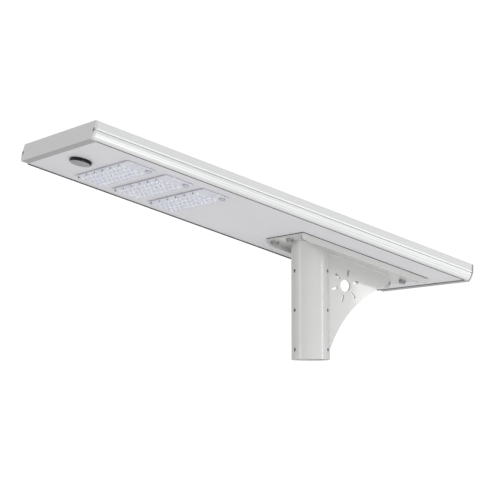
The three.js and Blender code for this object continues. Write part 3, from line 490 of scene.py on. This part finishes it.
def circuit_board(name):
    """White solder mask over copper: the tracks stand slightly proud and show greyer."""
    t = Tree(name)
    spot = t.place(True)
    grid = {"Vector": spot, "Scale": 74.0, "Mortar Size": 0.03, "Brick Width": 1.0, "Row Height": 1.3}
    track = t.add("ShaderNodeTexBrick", grid, out="Fac")
    mask = t.noise(spot, 600.0, 3.0)
    white = t.blend(mask, WIDE, (0.78, 0.8, 0.86, 1), (0.86, 0.88, 0.93, 1))
    t.set(Base_Color=t.mix(track, white, (0.66, 0.69, 0.76, 1)))
    t.set(Roughness=t.spread(mask, *WIDE, 0.35, 0.5))
    t.set(Normal=t.bump(track, 0.03 * MM, 0.5))
    return t.material


def phosphor(name):
    """The face of a white LED: pale yellow, grainy phosphor."""
    t = Tree(name)
    grain = t.noise(t.place(True), 5000.0, 3.0)
    t.set(Base_Color=t.blend(grain, WIDE, (0.75, 0.66, 0.2, 1), (0.92, 0.85, 0.42, 1)))
    t.set(Roughness=t.spread(grain, *WIDE, 0.3, 0.5), Normal=t.bump(grain, 0.02 * MM, 0.5))
    return t.material


def floor_paint(name):
    """Pale smooth floor with a barely visible cloudiness."""
    t = Tree(name)
    spot = t.place(False)
    cloud = t.noise(spot, 0.6, 4.0)
    grit = t.noise(spot, 90.0, 3.0)
    t.set(Base_Color=t.blend(cloud, NARROW, (0.84, 0.84, 0.84, 1), (0.88, 0.88, 0.88, 1)))
    t.set(Roughness=t.spread(grit, *WIDE, 0.5, 0.65), Normal=t.bump(grit, 0.3 * MM, 0.2))
    return t.material


FINISHES = {
    "rail_aluminium": extruded("rail_aluminium", (0.77, 0.775, 0.775, 1), 0.45),
    # The cap's turned-under edge gets painted shade, at 0.62 of the tone.
    "cap_paint": powder_coat("cap_paint", (0.60, 0.60, 0.605, 1), 0.42, 0.06 * MM, tilted=True, lip_shade=0.62),
    "panel_paint": powder_coat("panel_paint", (0.71, 0.70, 0.73, 1), 0.36, 0.05 * MM, tilted=True),
    "bracket_paint": powder_coat("bracket_paint", (0.56, 0.565, 0.55, 1), 0.24, 0.03 * MM, coat=0.9),
    "bolt_steel": metal("bolt_steel", (0.46, 0.46, 0.47, 1), 0.3),
    "dark_steel": metal("dark_steel", (0.4, 0.4, 0.41, 1), 0.4, rub=0.35),
    "rubber_black": moulded("rubber_black", (0.025, 0.025, 0.027, 1), 0.7, 1300.0),
    "gasket_silicone": moulded("gasket_silicone", (0.62, 0.63, 0.66, 1), 0.5, 1300.0),
    "loom_insulation": moulded("loom_insulation", (0.03, 0.03, 0.033, 1), 0.45, 700.0),
    "solar_glass": solar_glass("solar_glass"),
    "solar_cells": solar_cells("solar_cells"),
    "lens_plastic": clear_lens("lens_plastic"),
    "board_white": circuit_board("board_white"),
    "sink_aluminium": metal("sink_aluminium", (0.62, 0.63, 0.64, 1), 0.45, 350.0, 0.88),
    "gland_plastic": moulded("gland_plastic", (0.5, 0.5, 0.53, 1), 0.4, 1100.0),
    "sensor_plastic": gloss_black("sensor_plastic"),
    "battery_wrap": moulded("battery_wrap", (0.02, 0.10, 0.36, 1), 0.3, 90.0, 0.15 * MM),
    "black_plastic": moulded("black_plastic", (0.02, 0.02, 0.022, 1), 0.5, 1000.0),
}
LED_PHOSPHOR = phosphor("led_phosphor")
SENSOR_FACE_REFLECTION = sensor_face_reflection("sensor_face_reflection")
FLOOR_PAINT = floor_paint("floor_paint")

NODE_SLOTS = {part["node"]: part["material_slot"] for part in frame["record"]["subparts"]}
for name, obj in nodes.items():
    obj.data.materials.clear()
    obj.data.materials.append(FINISHES[NODE_SLOTS[name]])


# ---------------------------------------------------------------- mesh helpers
def new_piece(name, bm, slot_name, body=BODY, transform=None):
    """Makes an object from a bmesh, gives it a finish, and lets it ride on a CAD body."""
    mesh = bpy.data.meshes.new(name)
    if transform is not None:
        bm.transform(transform)
    bmesh.ops.recalc_face_normals(bm, faces=bm.faces)
    bm.to_mesh(mesh)
    bm.free()
    obj = bpy.data.objects.new(name, mesh)
    scene.collection.objects.link(obj)
    mesh.polygons.foreach_set("use_smooth", [True] * len(mesh.polygons))
    mesh.set_sharp_from_angle(angle=SHARP_ANGLE)
    mesh.materials.append(FINISHES[slot_name])
    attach(obj, body)
    return obj


def bake_modifiers(obj):
    """Replaces the object's mesh with what its modifiers make of it."""
    depsgraph = bpy.context.evaluated_depsgraph_get()
    made = bpy.data.meshes.new_from_object(obj.evaluated_get(depsgraph))
    obj.modifiers.clear()
    old = obj.data
    obj.data = made
    bpy.data.meshes.remove(old)


def round_edges(obj, width, angle):
    """Rounds each edge sharper than the angle; flat faces stay flat next to it."""
    bevel = obj.modifiers.new("edges", "BEVEL")
    bevel.width = width
    bevel.segments = BEVEL_SEGMENTS
    bevel.limit_method = "ANGLE"
    bevel.angle_limit = angle
    weighted = obj.modifiers.new("normals", "WEIGHTED_NORMAL")
    weighted.keep_sharp = True
    weighted.weight = 100
    bake_modifiers(obj)


def soften(node, width):
    """Lets a copy with rounded edges stand for a CAD node."""
    source = nodes[node]
    bm = bmesh.new()
    bm.from_mesh(source.data)
    bmesh.ops.remove_doubles(bm, verts=bm.verts, dist=SAME_PLACE)
    bmesh.ops.dissolve_limit(bm, angle_limit=FLAT_ANGLE, verts=bm.verts, edges=bm.edges)
    body = source["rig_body"]
    piece = new_piece(node + "_fine", bm, NODE_SLOTS[node], body)
    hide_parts(node)
    round_edges(piece, width, BEVEL_ANGLE)


def head_box(node):
    """The lowest and highest corners of a CAD node in the head's frame."""
    inverse = HEAD.inverted()
    points = [inverse @ v.co for v in nodes[node].data.vertices]
    low = Vector(min(p[i] for p in points) for i in range(3))
    high = Vector(max(p[i] for p in points) for i in range(3))
    return low, high


def middle_of(low, high):
    """Carries a shape from the origin to the head's underside, at the middle of a box."""
    return HEAD @ Matrix.Translation(((low.x + high.x) / 2, (low.y + high.y) / 2, 0))


def rounded_outline(half_x, half_y, radius, steps):
    points = []
    corners = [(1, -1, -0.5), (1, 1, 0), (-1, 1, 0.5), (-1, -1, 1)]
    for sx, sy, start in corners:
        for i in range(steps + 1):
            turn = (start + 0.5 * i / steps) * math.pi
            x = sx * (half_x - radius) + radius * math.cos(turn)
            y = sy * (half_y - radius) + radius * math.sin(turn)
            points.append((x, y))
    return points


def circle(x, y, radius, sides):
    turns = [2 * math.pi * i / sides for i in range(sides)]
    return [(x + radius * math.cos(a), y + radius * math.sin(a)) for a in turns]


def add_loop(bm, points, z):
    verts = [bm.verts.new((x, y, z)) for x, y in points]
    return [bm.edges.new((verts[i], verts[(i + 1) % len(verts)])) for i in range(len(verts))]


def skin(bm, rings, around=False):
    """Joins each ring of vertices to the next one, and the last to the first if it goes around."""
    following = rings[1:] + rings[:1] if around else rings[1:]
    for a, b in zip(rings, following):
        for i in range(len(a)):
            j = (i + 1) % len(a)
            bm.faces.new((a[i], a[j], b[j], b[i]))


def cap_ends(bm, rings):
    bm.faces.new(rings[0])
    bm.faces.new(list(reversed(rings[-1])))


def section(bm, point, side, lift, radius):
    """A ring of vertices round a point of a bead, in the plane of two directions."""
    ring = []
    for k in range(BEAD_SECTION):
        turn = 2 * math.pi * k / BEAD_SECTION
        ring.append(bm.verts.new(point + side * radius * math.cos(turn) + lift * radius * math.sin(turn)))
    return ring


def line(start, end, step):
    """Points from start to end, about a step apart."""
    count = max(2, round((end - start).length / step))
    return [start.lerp(end, i / count) for i in range(count + 1)]


def seat_height(x):
    """Height of the plane just under the mounting plate."""
    return SLEEVE_HEIGHT + (PLATE_UNDERSIDE - FIT - x * math.sin(TILT)) / math.cos(TILT)


# ---------------------------------------------------------------- LED modules
def cell_angles():
    """Directions from a dome's centre to points on its cell's border, the corners among them."""
    corner = math.atan2(DOME_PITCH[1], DOME_PITCH[0])
    quarter = [0] + [corner * share for share in THIRDS] + [corner]
    quarter += [corner + (math.pi / 2 - corner) * share for share in THIRDS]
    mirrored = [math.pi - a for a in reversed(quarter[1:])]
    half = quarter + [math.pi / 2] + mirrored
    return half + [a + math.pi for a in half]


def border_point(angle):
    half_x, half_y = DOME_PITCH[0] / 2, DOME_PITCH[1] / 2
    c, s = math.cos(angle), math.sin(angle)
    reach = min(half_x / max(abs(c), NEARLY_ZERO), half_y / max(abs(s), NEARLY_ZERO))
    return reach * c, reach * s


def add_dome(bm, x, y, z):
    """A dome on its rectangular cell of the lens's lower face."""
    angles = cell_angles()
    rings = [[bm.verts.new((x + p[0], y + p[1], z)) for p in map(border_point, angles)]]
    for i in range(DOME_RINGS):
        share = 1 - i / DOME_RINGS
        drop = DOME_HEIGHT * (1 - share**2) ** DOME_FULLNESS if i else 0.0
        radius = DOME_RADIUS * share
        points = [(x + radius * math.cos(a), y + radius * math.sin(a), z - drop) for a in angles]
        rings.append([bm.verts.new(point) for point in points])
    skin(bm, rings)
    tip = bm.verts.new((x, y, z - DOME_HEIGHT))
    for i in range(len(angles)):
        bm.faces.new((rings[-1][i], rings[-1][(i + 1) % len(angles)], tip))


def dome_places():
    y0, y1 = -LENS_SIZE[1] / 2 + LENS_EAR, LENS_SIZE[1] / 2 - LENS_RIM
    rows, columns = DOME_GRID
    for row in range(rows):
        for column in range(columns):
            x = (row - (rows - 1) / 2) * DOME_PITCH[0]
            y = (y0 + y1) / 2 + (column - (columns - 1) / 2) * DOME_PITCH[1]
            yield x, y


def lens_bmesh(bottom, top):
    """A lens plate with its domes below, and a hole in its plain end for the cable gland."""
    bm = bmesh.new()
    for x, y in dome_places():
        add_dome(bm, x, y, bottom)
    bmesh.ops.remove_doubles(bm, verts=bm.verts, dist=SAME_PLACE)
    field_edges = [e for e in bm.edges if e.is_boundary]
    gland = (LENS_SIZE[0] / 2 - GLAND_INSET, -LENS_SIZE[1] / 2 + GLAND_INSET)
    outline = rounded_outline(LENS_SIZE[0] / 2, LENS_SIZE[1] / 2, LENS_CORNER, LENS_CORNER_STEPS)
    hole = circle(*gland, GLAND_HOLE, GLAND_HOLE_SIDES)
    lower = add_loop(bm, outline, bottom) + add_loop(bm, hole, bottom)
    bmesh.ops.triangle_fill(bm, use_beauty=True, use_dissolve=False, edges=field_edges + lower)
    upper = add_loop(bm, outline, top) + add_loop(bm, hole, top)
    bmesh.ops.triangle_fill(bm, use_beauty=True, use_dissolve=False, edges=upper)
    for low, high in zip(lower, upper):
        a, b = low.verts
        d, c = high.verts
        bm.faces.new((a, b, c, d))
    return bm


def led_bmesh(z):
    """One LED package under each dome: a ceramic base with its phosphor face."""
    bm = bmesh.new()
    half = LED_SIZE / 2
    base = (half, z - LED_BASE, z)
    top = (half * LED_TOP_SHARE, z - LED_BASE - LED_TOP, z - LED_BASE)
    for x, y in dome_places():
        for index, (reach, low, high) in enumerate((base, top)):
            made = bmesh.ops.create_cube(bm, size=1.0)["verts"]
            for v in made:
                height = (low + high) / 2 + v.co.z * (high - low)
                v.co = Vector((x + v.co.x * 2 * reach, y + v.co.y * 2 * reach, height))
            for face in {f for v in made for f in v.link_faces}:
                face.material_index = index
    return bm


def clip_bmesh(bottom, front):
    """Slim spring clips that hold the lens along its front side."""
    bm = bmesh.new()
    middle = (LENS_EAR - LENS_RIM) / 2
    for i in range(CLIP_COUNT):
        y = middle + (i - (CLIP_COUNT - 1) / 2) * CLIP_PITCH
        made = bmesh.ops.create_cube(bm, size=1.0)["verts"]
        for v in made:
            lean = CLIP_LEAN if v.co.z > 0 else 0.0
            v.co = Vector((
                front + CLIP_SIZE[0] * (v.co.x + 0.5) + lean,
                y + CLIP_SIZE[1] * v.co.y,
                bottom - CLIP_SIZE[2] * (v.co.z + 0.5) + CLIP_SINK,
            ))
    bmesh.ops.bevel(
        bm,
        geom=list(bm.edges),
        offset=CLIP_EDGE,
        segments=BEVEL_SEGMENTS,
        affect="EDGES",
        profile=CLIP_EDGE_PROFILE,
    )
    return bm


def build_modules():
    for number in MODULES:
        low, high = head_box(f"led_lens_{number}")
        board_low, _ = head_box(f"led_board_{number}")
        centre = middle_of(low, high)
        bm = lens_bmesh(low.z + DOME_HEIGHT, high.z)
        lens = new_piece(f"led_lens_{number}_fine", bm, "lens_plastic", transform=centre)
        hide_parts(f"led_lens_{number}")
        bm = led_bmesh(board_low.z - LED_GAP)
        leds = new_piece(f"led_chips_{number}", bm, "board_white", transform=centre)
        leds.data.materials.append(LED_PHOSPHOR)
        bm = clip_bmesh(low.z + DOME_HEIGHT, -LENS_SIZE[0] / 2 + CLIP_INSET)
        new_piece(f"lens_clips_{number}", bm, "dark_steel", transform=centre)


# ---------------------------------------------------------------- bracket
def sleeve_bmesh():
    bm = bmesh.new()
    inner = SLEEVE_RADIUS - SLEEVE_WALL
    rings = []
    for radius, is_top in ((SLEEVE_RADIUS, False), (SLEEVE_RADIUS, True), (inner, True), (inner, False)):
        outline = circle(0, 0, radius, SLEEVE_SIDES)
        rings.append([bm.verts.new((x, y, seat_height(x) if is_top else 0.0)) for x, y in outline])
    skin(bm, rings, around=True)
    return bm


def screw_hole_cutter():
    bm = bmesh.new()
    for angle in SCREW_COLUMNS.values():
        for height in SCREW_HEIGHTS:
            made = bmesh.ops.create_cone(
                bm,
                cap_ends=True,
                segments=SCREW_HOLE_SIDES,
                radius1=SCREW_HOLE,
                radius2=SCREW_HOLE,
                depth=SCREW_HOLE_DEPTH,
            )["verts"]
            turn = Matrix.Rotation(angle, 4, "Z") @ Matrix.Translation((SLEEVE_RADIUS, 0, height))
            bmesh.ops.transform(bm, matrix=turn @ Matrix.Rotation(math.pi / 2, 4, "Y"), verts=made)
    mesh = bpy.data.meshes.new("screw_holes")
    bm.to_mesh(mesh)
    bm.free()
    cutter = bpy.data.objects.new("screw_holes", mesh)
    scene.collection.objects.link(cutter)
    return cutter


def build_sleeve():
    sleeve = new_piece("pole_sleeve_fine", sleeve_bmesh(), "bracket_paint")
    cutter = screw_hole_cutter()
    boolean = sleeve.modifiers.new("holes", "BOOLEAN")
    boolean.operation = "DIFFERENCE"
    boolean.solver = "EXACT"
    boolean.object = cutter
    round_edges(sleeve, SLEEVE_EDGE, SLEEVE_BEVEL_ANGLE)
    mesh = cutter.data
    bpy.data.objects.remove(cutter)
    bpy.data.meshes.remove(mesh)
    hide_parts("pole_sleeve")


def weld_bead(bm, path, up, closed=False):
    """A weld bead with ripples, laid along a path of points; an open one tapers at its ends."""
    last = len(path) - 1
    rings = []
    travelled = 0.0
    for i, point in enumerate(path):
        ahead = path[(i + 1) % len(path)] if closed else path[min(i + 1, last)]
        behind = path[i - 1] if closed or i else path[0]
        along = (ahead - behind).normalized()
        side = along.cross(up).normalized()
        lift = side.cross(along).normalized()
        travelled += (point - path[i - 1]).length if i else 0.0
        ripple = 1 - RIPPLE_DEPTH + RIPPLE_DEPTH * abs(math.sin(math.pi * travelled / RIPPLE_PITCH))
        taper = 1.0 if closed else min(1.0, TAPER_START + min(i, last - i) * TAPER_STEP)
        radius = WELD_RADIUS * ripple * taper * (1 + random.uniform(-WELD_WANDER, WELD_WANDER))
        rings.append(section(bm, point, side, lift, radius))
    skin(bm, rings, around=closed)
    if not closed:
        cap_ends(bm, rings)


def build_welds():
    up, rearward = Vector((0, 0, 1)), Vector((1, 0, 0))
    bm = bmesh.new()
    steps = round(2 * math.pi * SLEEVE_RADIUS / WELD_STEP)
    ring = [Vector((x, y, seat_height(x) - WELD_SINK)) for x, y in circle(0, 0, SLEEVE_RADIUS, steps)]
    weld_bead(bm, ring, up, closed=True)
    new_piece("weld_sleeve_to_plate", bm, "bracket_paint")
    bm = bmesh.new()
    for side in (-1, 1):
        y = side * GUSSET_HALF
        toe = Vector((SLEEVE_RADIUS, y, GUSSET_TOE + WELD_STOP))
        top = Vector((SLEEVE_RADIUS, y, seat_height(SLEEVE_RADIUS) - WELD_CORNER))
        weld_bead(bm, line(toe, top, WELD_STEP), rearward)
        span = (SLEEVE_RADIUS + WELD_CORNER, GUSSET_REAR - WELD_STOP)
        ends = [Vector((x, y, seat_height(x))) for x in span]
        weld_bead(bm, line(*ends, WELD_STEP), up)
    new_piece("weld_gusset", bm, "bracket_paint")


# ---------------------------------------------------------------- sealant, and black beads of painted shade
def shade_bead(bm, start, end, radius):
    """A round black bead between two points of the head's frame, painted shade along a joint."""
    along = (end - start).normalized()
    up = Vector((0, 0, 1))
    side = along.cross(up).normalized()
    rings = []
    for point in line(start, end, SHADE_BEAD_STEP):
        swell = radius * (1 + random.uniform(-SHADE_BEAD_WANDER, SHADE_BEAD_WANDER))
        rings.append(section(bm, point, side, up, swell))
    skin(bm, rings)
    cap_ends(bm, rings)


# Black beads along the panel's near, far and rear edges and round the mounting plate paint the shade of
# those joints.
def build_shade_beads():
    low, high = head_box("bottom_panel")
    near, far, rear = low.y - SHADE_BEAD_OFFSET, high.y + SHADE_BEAD_OFFSET, high.x + SHADE_BEAD_OFFSET
    runs = {
        "near": ((low.x, near), (high.x, near), NEAR_SHADE_BEAD),
        "far": ((low.x, far), (high.x, far), FAR_SHADE_BEAD),
        "rear": ((rear, low.y), (rear, high.y), REAR_SHADE_BEAD),
    }
    for side, (start, end, (radius, height)) in runs.items():
        bm = bmesh.new()
        shade_bead(bm, Vector((*start, height)), Vector((*end, height)), radius)
        new_piece("panel_shade_bead_" + side, bm, "rubber_black", transform=HEAD)
    low, high = head_box("mounting_plate")
    outline = ((low.x, low.y), (high.x, low.y), (high.x, high.y), (low.x, high.y))
    corners = [Vector((x, y, 0)) for x, y in outline]
    bm = bmesh.new()
    for start, end in zip(corners, corners[1:] + corners[:1]):
        shade_bead(bm, start, end, PLATE_SHADE_BEAD_RADIUS)
    new_piece("plate_shade_bead", bm, "rubber_black", transform=HEAD)


def rail_outline(inset):
    """The head's outline across its length, a little inside the two rails' flanks."""
    inverse = HEAD.inverted()
    flat = []
    for node in ("side_rail_near", "side_rail_far"):
        points = [inverse @ v.co for v in nodes[node].data.vertices]
        flat += [Vector((p.y, p.z)) for p in points]
    outline = [flat[i] for i in convex_hull_2d(flat)]
    low = Vector(min(p[i] for p in outline) for i in range(2))
    high = Vector(max(p[i] for p in outline) for i in range(2))
    middle, half = (low + high) / 2, (high - low) / 2
    kept = []
    for p in outline:
        if not kept or (p - kept[-1]).length > OUTLINE_STEP:
            kept.append(p)
    return [middle + Vector(((p[i] - middle[i]) * (1 - inset / half[i]) for i in range(2))) for p in kept]


def build_joint_seals():
    """Sealant that fills each joint between an end cap and the rails, round its gasket."""
    outer, inner = rail_outline(JOINT_SEAL_INSET), rail_outline(JOINT_SEAL_DEPTH)
    for end, slot_name in (("front", "gasket_silicone"), ("rear", "rubber_black")):
        low, high = head_box("end_gasket_" + end)
        front, back = low.x - JOINT_SEAL_REACH, high.x + JOINT_SEAL_REACH
        bm = bmesh.new()
        rings = []
        for outline, x in ((outer, front), (outer, back), (inner, back), (inner, front)):
            rings.append([bm.verts.new((x, p.x, p.y)) for p in outline])
        skin(bm, rings, around=True)
        new_piece("cap_seal_" + end, bm, slot_name, transform=HEAD)


# ---------------------------------------------------------------- sensor
def lathe(profile, sides):
    """A profile of (radius, height) pairs turned about the Z axis; it starts and ends on the axis."""
    bm = bmesh.new()
    first, last = profile[0], profile[-1]
    bottom = bm.verts.new((0, 0, first[1]))
    rings = [[bm.verts.new((x, y, z)) for x, y in circle(0, 0, r, sides)] for r, z in profile[1:-1]]
    top = bm.verts.new((0, 0, last[1]))
    for i in range(sides):
        bm.faces.new((bottom, rings[0][(i + 1) % sides], rings[0][i]))
    skin(bm, rings)
    for i in range(sides):
        bm.faces.new((rings[-1][i], rings[-1][(i + 1) % sides], top))
    return bm


def build_sensor():
    """The sensor's black cover with a rounded edge, and a grey painted reflection on its face."""
    low, high = head_box("sensor_cover")
    gasket_low, _ = head_box("sensor_gasket")
    radius = (high.x - low.x) / 2
    top = gasket_low.z - FIT
    profile = [(radius * out, low.z + SENSOR_CROWN * rise) for out, rise in SENSOR_CROWN_CURVE]
    for i in range(SENSOR_STEPS + 1):
        turn = math.pi / 2 * i / SENSOR_STEPS
        out = radius - SENSOR_ROUNDING * (1 - math.sin(turn))
        profile.append((out, low.z + SENSOR_CROWN + SENSOR_ROUNDING * (1 - math.cos(turn))))
    profile += [(radius, top - SENSOR_RIM[1]), (radius - SENSOR_RIM[0], top), (0.0, top)]
    bm = lathe(profile, SENSOR_SIDES)
    for face in bm.faces:
        # The flat face gets the grey of the painted reflection.
        if all(v.co.z < low.z + FACE_REFLECTION_DEPTH for v in face.verts):
            face.material_index = 1
    cover = new_piece("sensor_cover_fine", bm, "sensor_plastic", transform=middle_of(low, high))
    cover.data.materials.append(SENSOR_FACE_REFLECTION)
    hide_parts("sensor_cover")


# ---------------------------------------------------------------- stage, light and camera
def area_light(name, place, aim, size, power):
    data = bpy.data.lights.new(name, "AREA")
    data.shape = "RECTANGLE"
    data.size, data.size_y = size
    data.energy = power
    light = bpy.data.objects.new(name, data)
    light.location = place
    light.rotation_euler = (Vector(aim) - place).to_track_quat("-Z", "Y").to_euler()
    scene.collection.objects.link(light)


def around(heading, distance, height):
    """A place at a heading, in degrees, to the right of the line from the lamp to the camera."""
    turn = math.pi + CAMERA_HEADING - math.radians(heading)
    return Vector((distance * math.sin(turn), distance * math.cos(turn), height))


def build_stage():
    bm = bmesh.new()
    bmesh.ops.create_circle(bm, cap_ends=True, cap_tris=False, segments=FLOOR_SIDES, radius=FLOOR_RADIUS)
    mesh = bpy.data.meshes.new("floor")
    bm.to_mesh(mesh)
    bm.free()
    floor = bpy.data.objects.new("floor", mesh)
    floor.location = (0, 0, FLOOR_HEIGHT)
    mesh.materials.append(FLOOR_PAINT)
    scene.collection.objects.link(floor)
    for name, (heading, distance, height, aim, size, power) in STUDIO.items():
        area_light(name, around(heading, distance, height), aim, size, power)


def build_world():
    """A white backdrop to look at, and a room's light that is dimmer behind the lamp and above it."""
    world = bpy.data.worlds.new("studio")
    world.use_nodes = True
    tree = world.node_tree
    background = tree.nodes["Background"]
    ahead = Vector((math.sin(CAMERA_HEADING), math.cos(CAMERA_HEADING), 0))
    direction = tree.nodes.new("ShaderNodeTexCoord").outputs["Generated"]

    def along(axis, limits):
        dot = tree.nodes.new("ShaderNodeVectorMath")
        dot.operation = "DOT_PRODUCT"
        tree.links.new(direction, dot.inputs[0])
        dot.inputs[1].default_value = axis
        ranged = tree.nodes.new("ShaderNodeMapRange")
        ranged.interpolation_type = "SMOOTHSTEP"
        tree.links.new(dot.outputs["Value"], ranged.inputs["Value"])
        for key, value in enumerate(limits, start=1):
            ranged.inputs[key].default_value = value
        return ranged.outputs["Result"]

    def combine(operation, a, b):
        made = tree.nodes.new("ShaderNodeMath")
        made.operation = operation
        for socket, value in zip(made.inputs, (a, b)):
            if isinstance(value, float):
                socket.default_value = value
            else:
                tree.links.new(value, socket)
        return made.outputs[0]

    room = combine("MULTIPLY", along(ahead, ROOM_AHEAD), along((0, 0, 1), ROOM_ABOVE))
    seen = tree.nodes.new("ShaderNodeLightPath").outputs["Is Camera Ray"]
    strength = combine("MAXIMUM", room, combine("MULTIPLY", seen, BACKDROP))
    tree.links.new(strength, background.inputs["Strength"])
    background.inputs["Color"].default_value = (1, 1, 1, 1)
    scene.world = world


def build_camera():
    data = bpy.data.cameras.new("camera")
    data.lens = CAMERA_LENS
    data.sensor_width = CAMERA_SENSOR
    data.clip_end = CAMERA_REACH
    camera = bpy.data.objects.new("camera", data)
    camera.location = CAMERA_PLACE
    camera.rotation_euler = (math.pi / 2 + CAMERA_PITCH, 0, -CAMERA_HEADING)
    scene.collection.objects.link(camera)
    scene.camera = camera


build_modules()
build_sleeve()
build_welds()
build_shade_beads()
build_joint_seals()
build_sensor()
for node in ROUNDED_NODES:
    soften(node, EDGE_RADIUS)
for node in nodes:
    if node.startswith(SMALL_ROUNDED_NODES):
        soften(node, SMALL_EDGE_RADIUS)
build_stage()
build_world()
build_camera()
scene.view_settings.view_transform = "Standard"
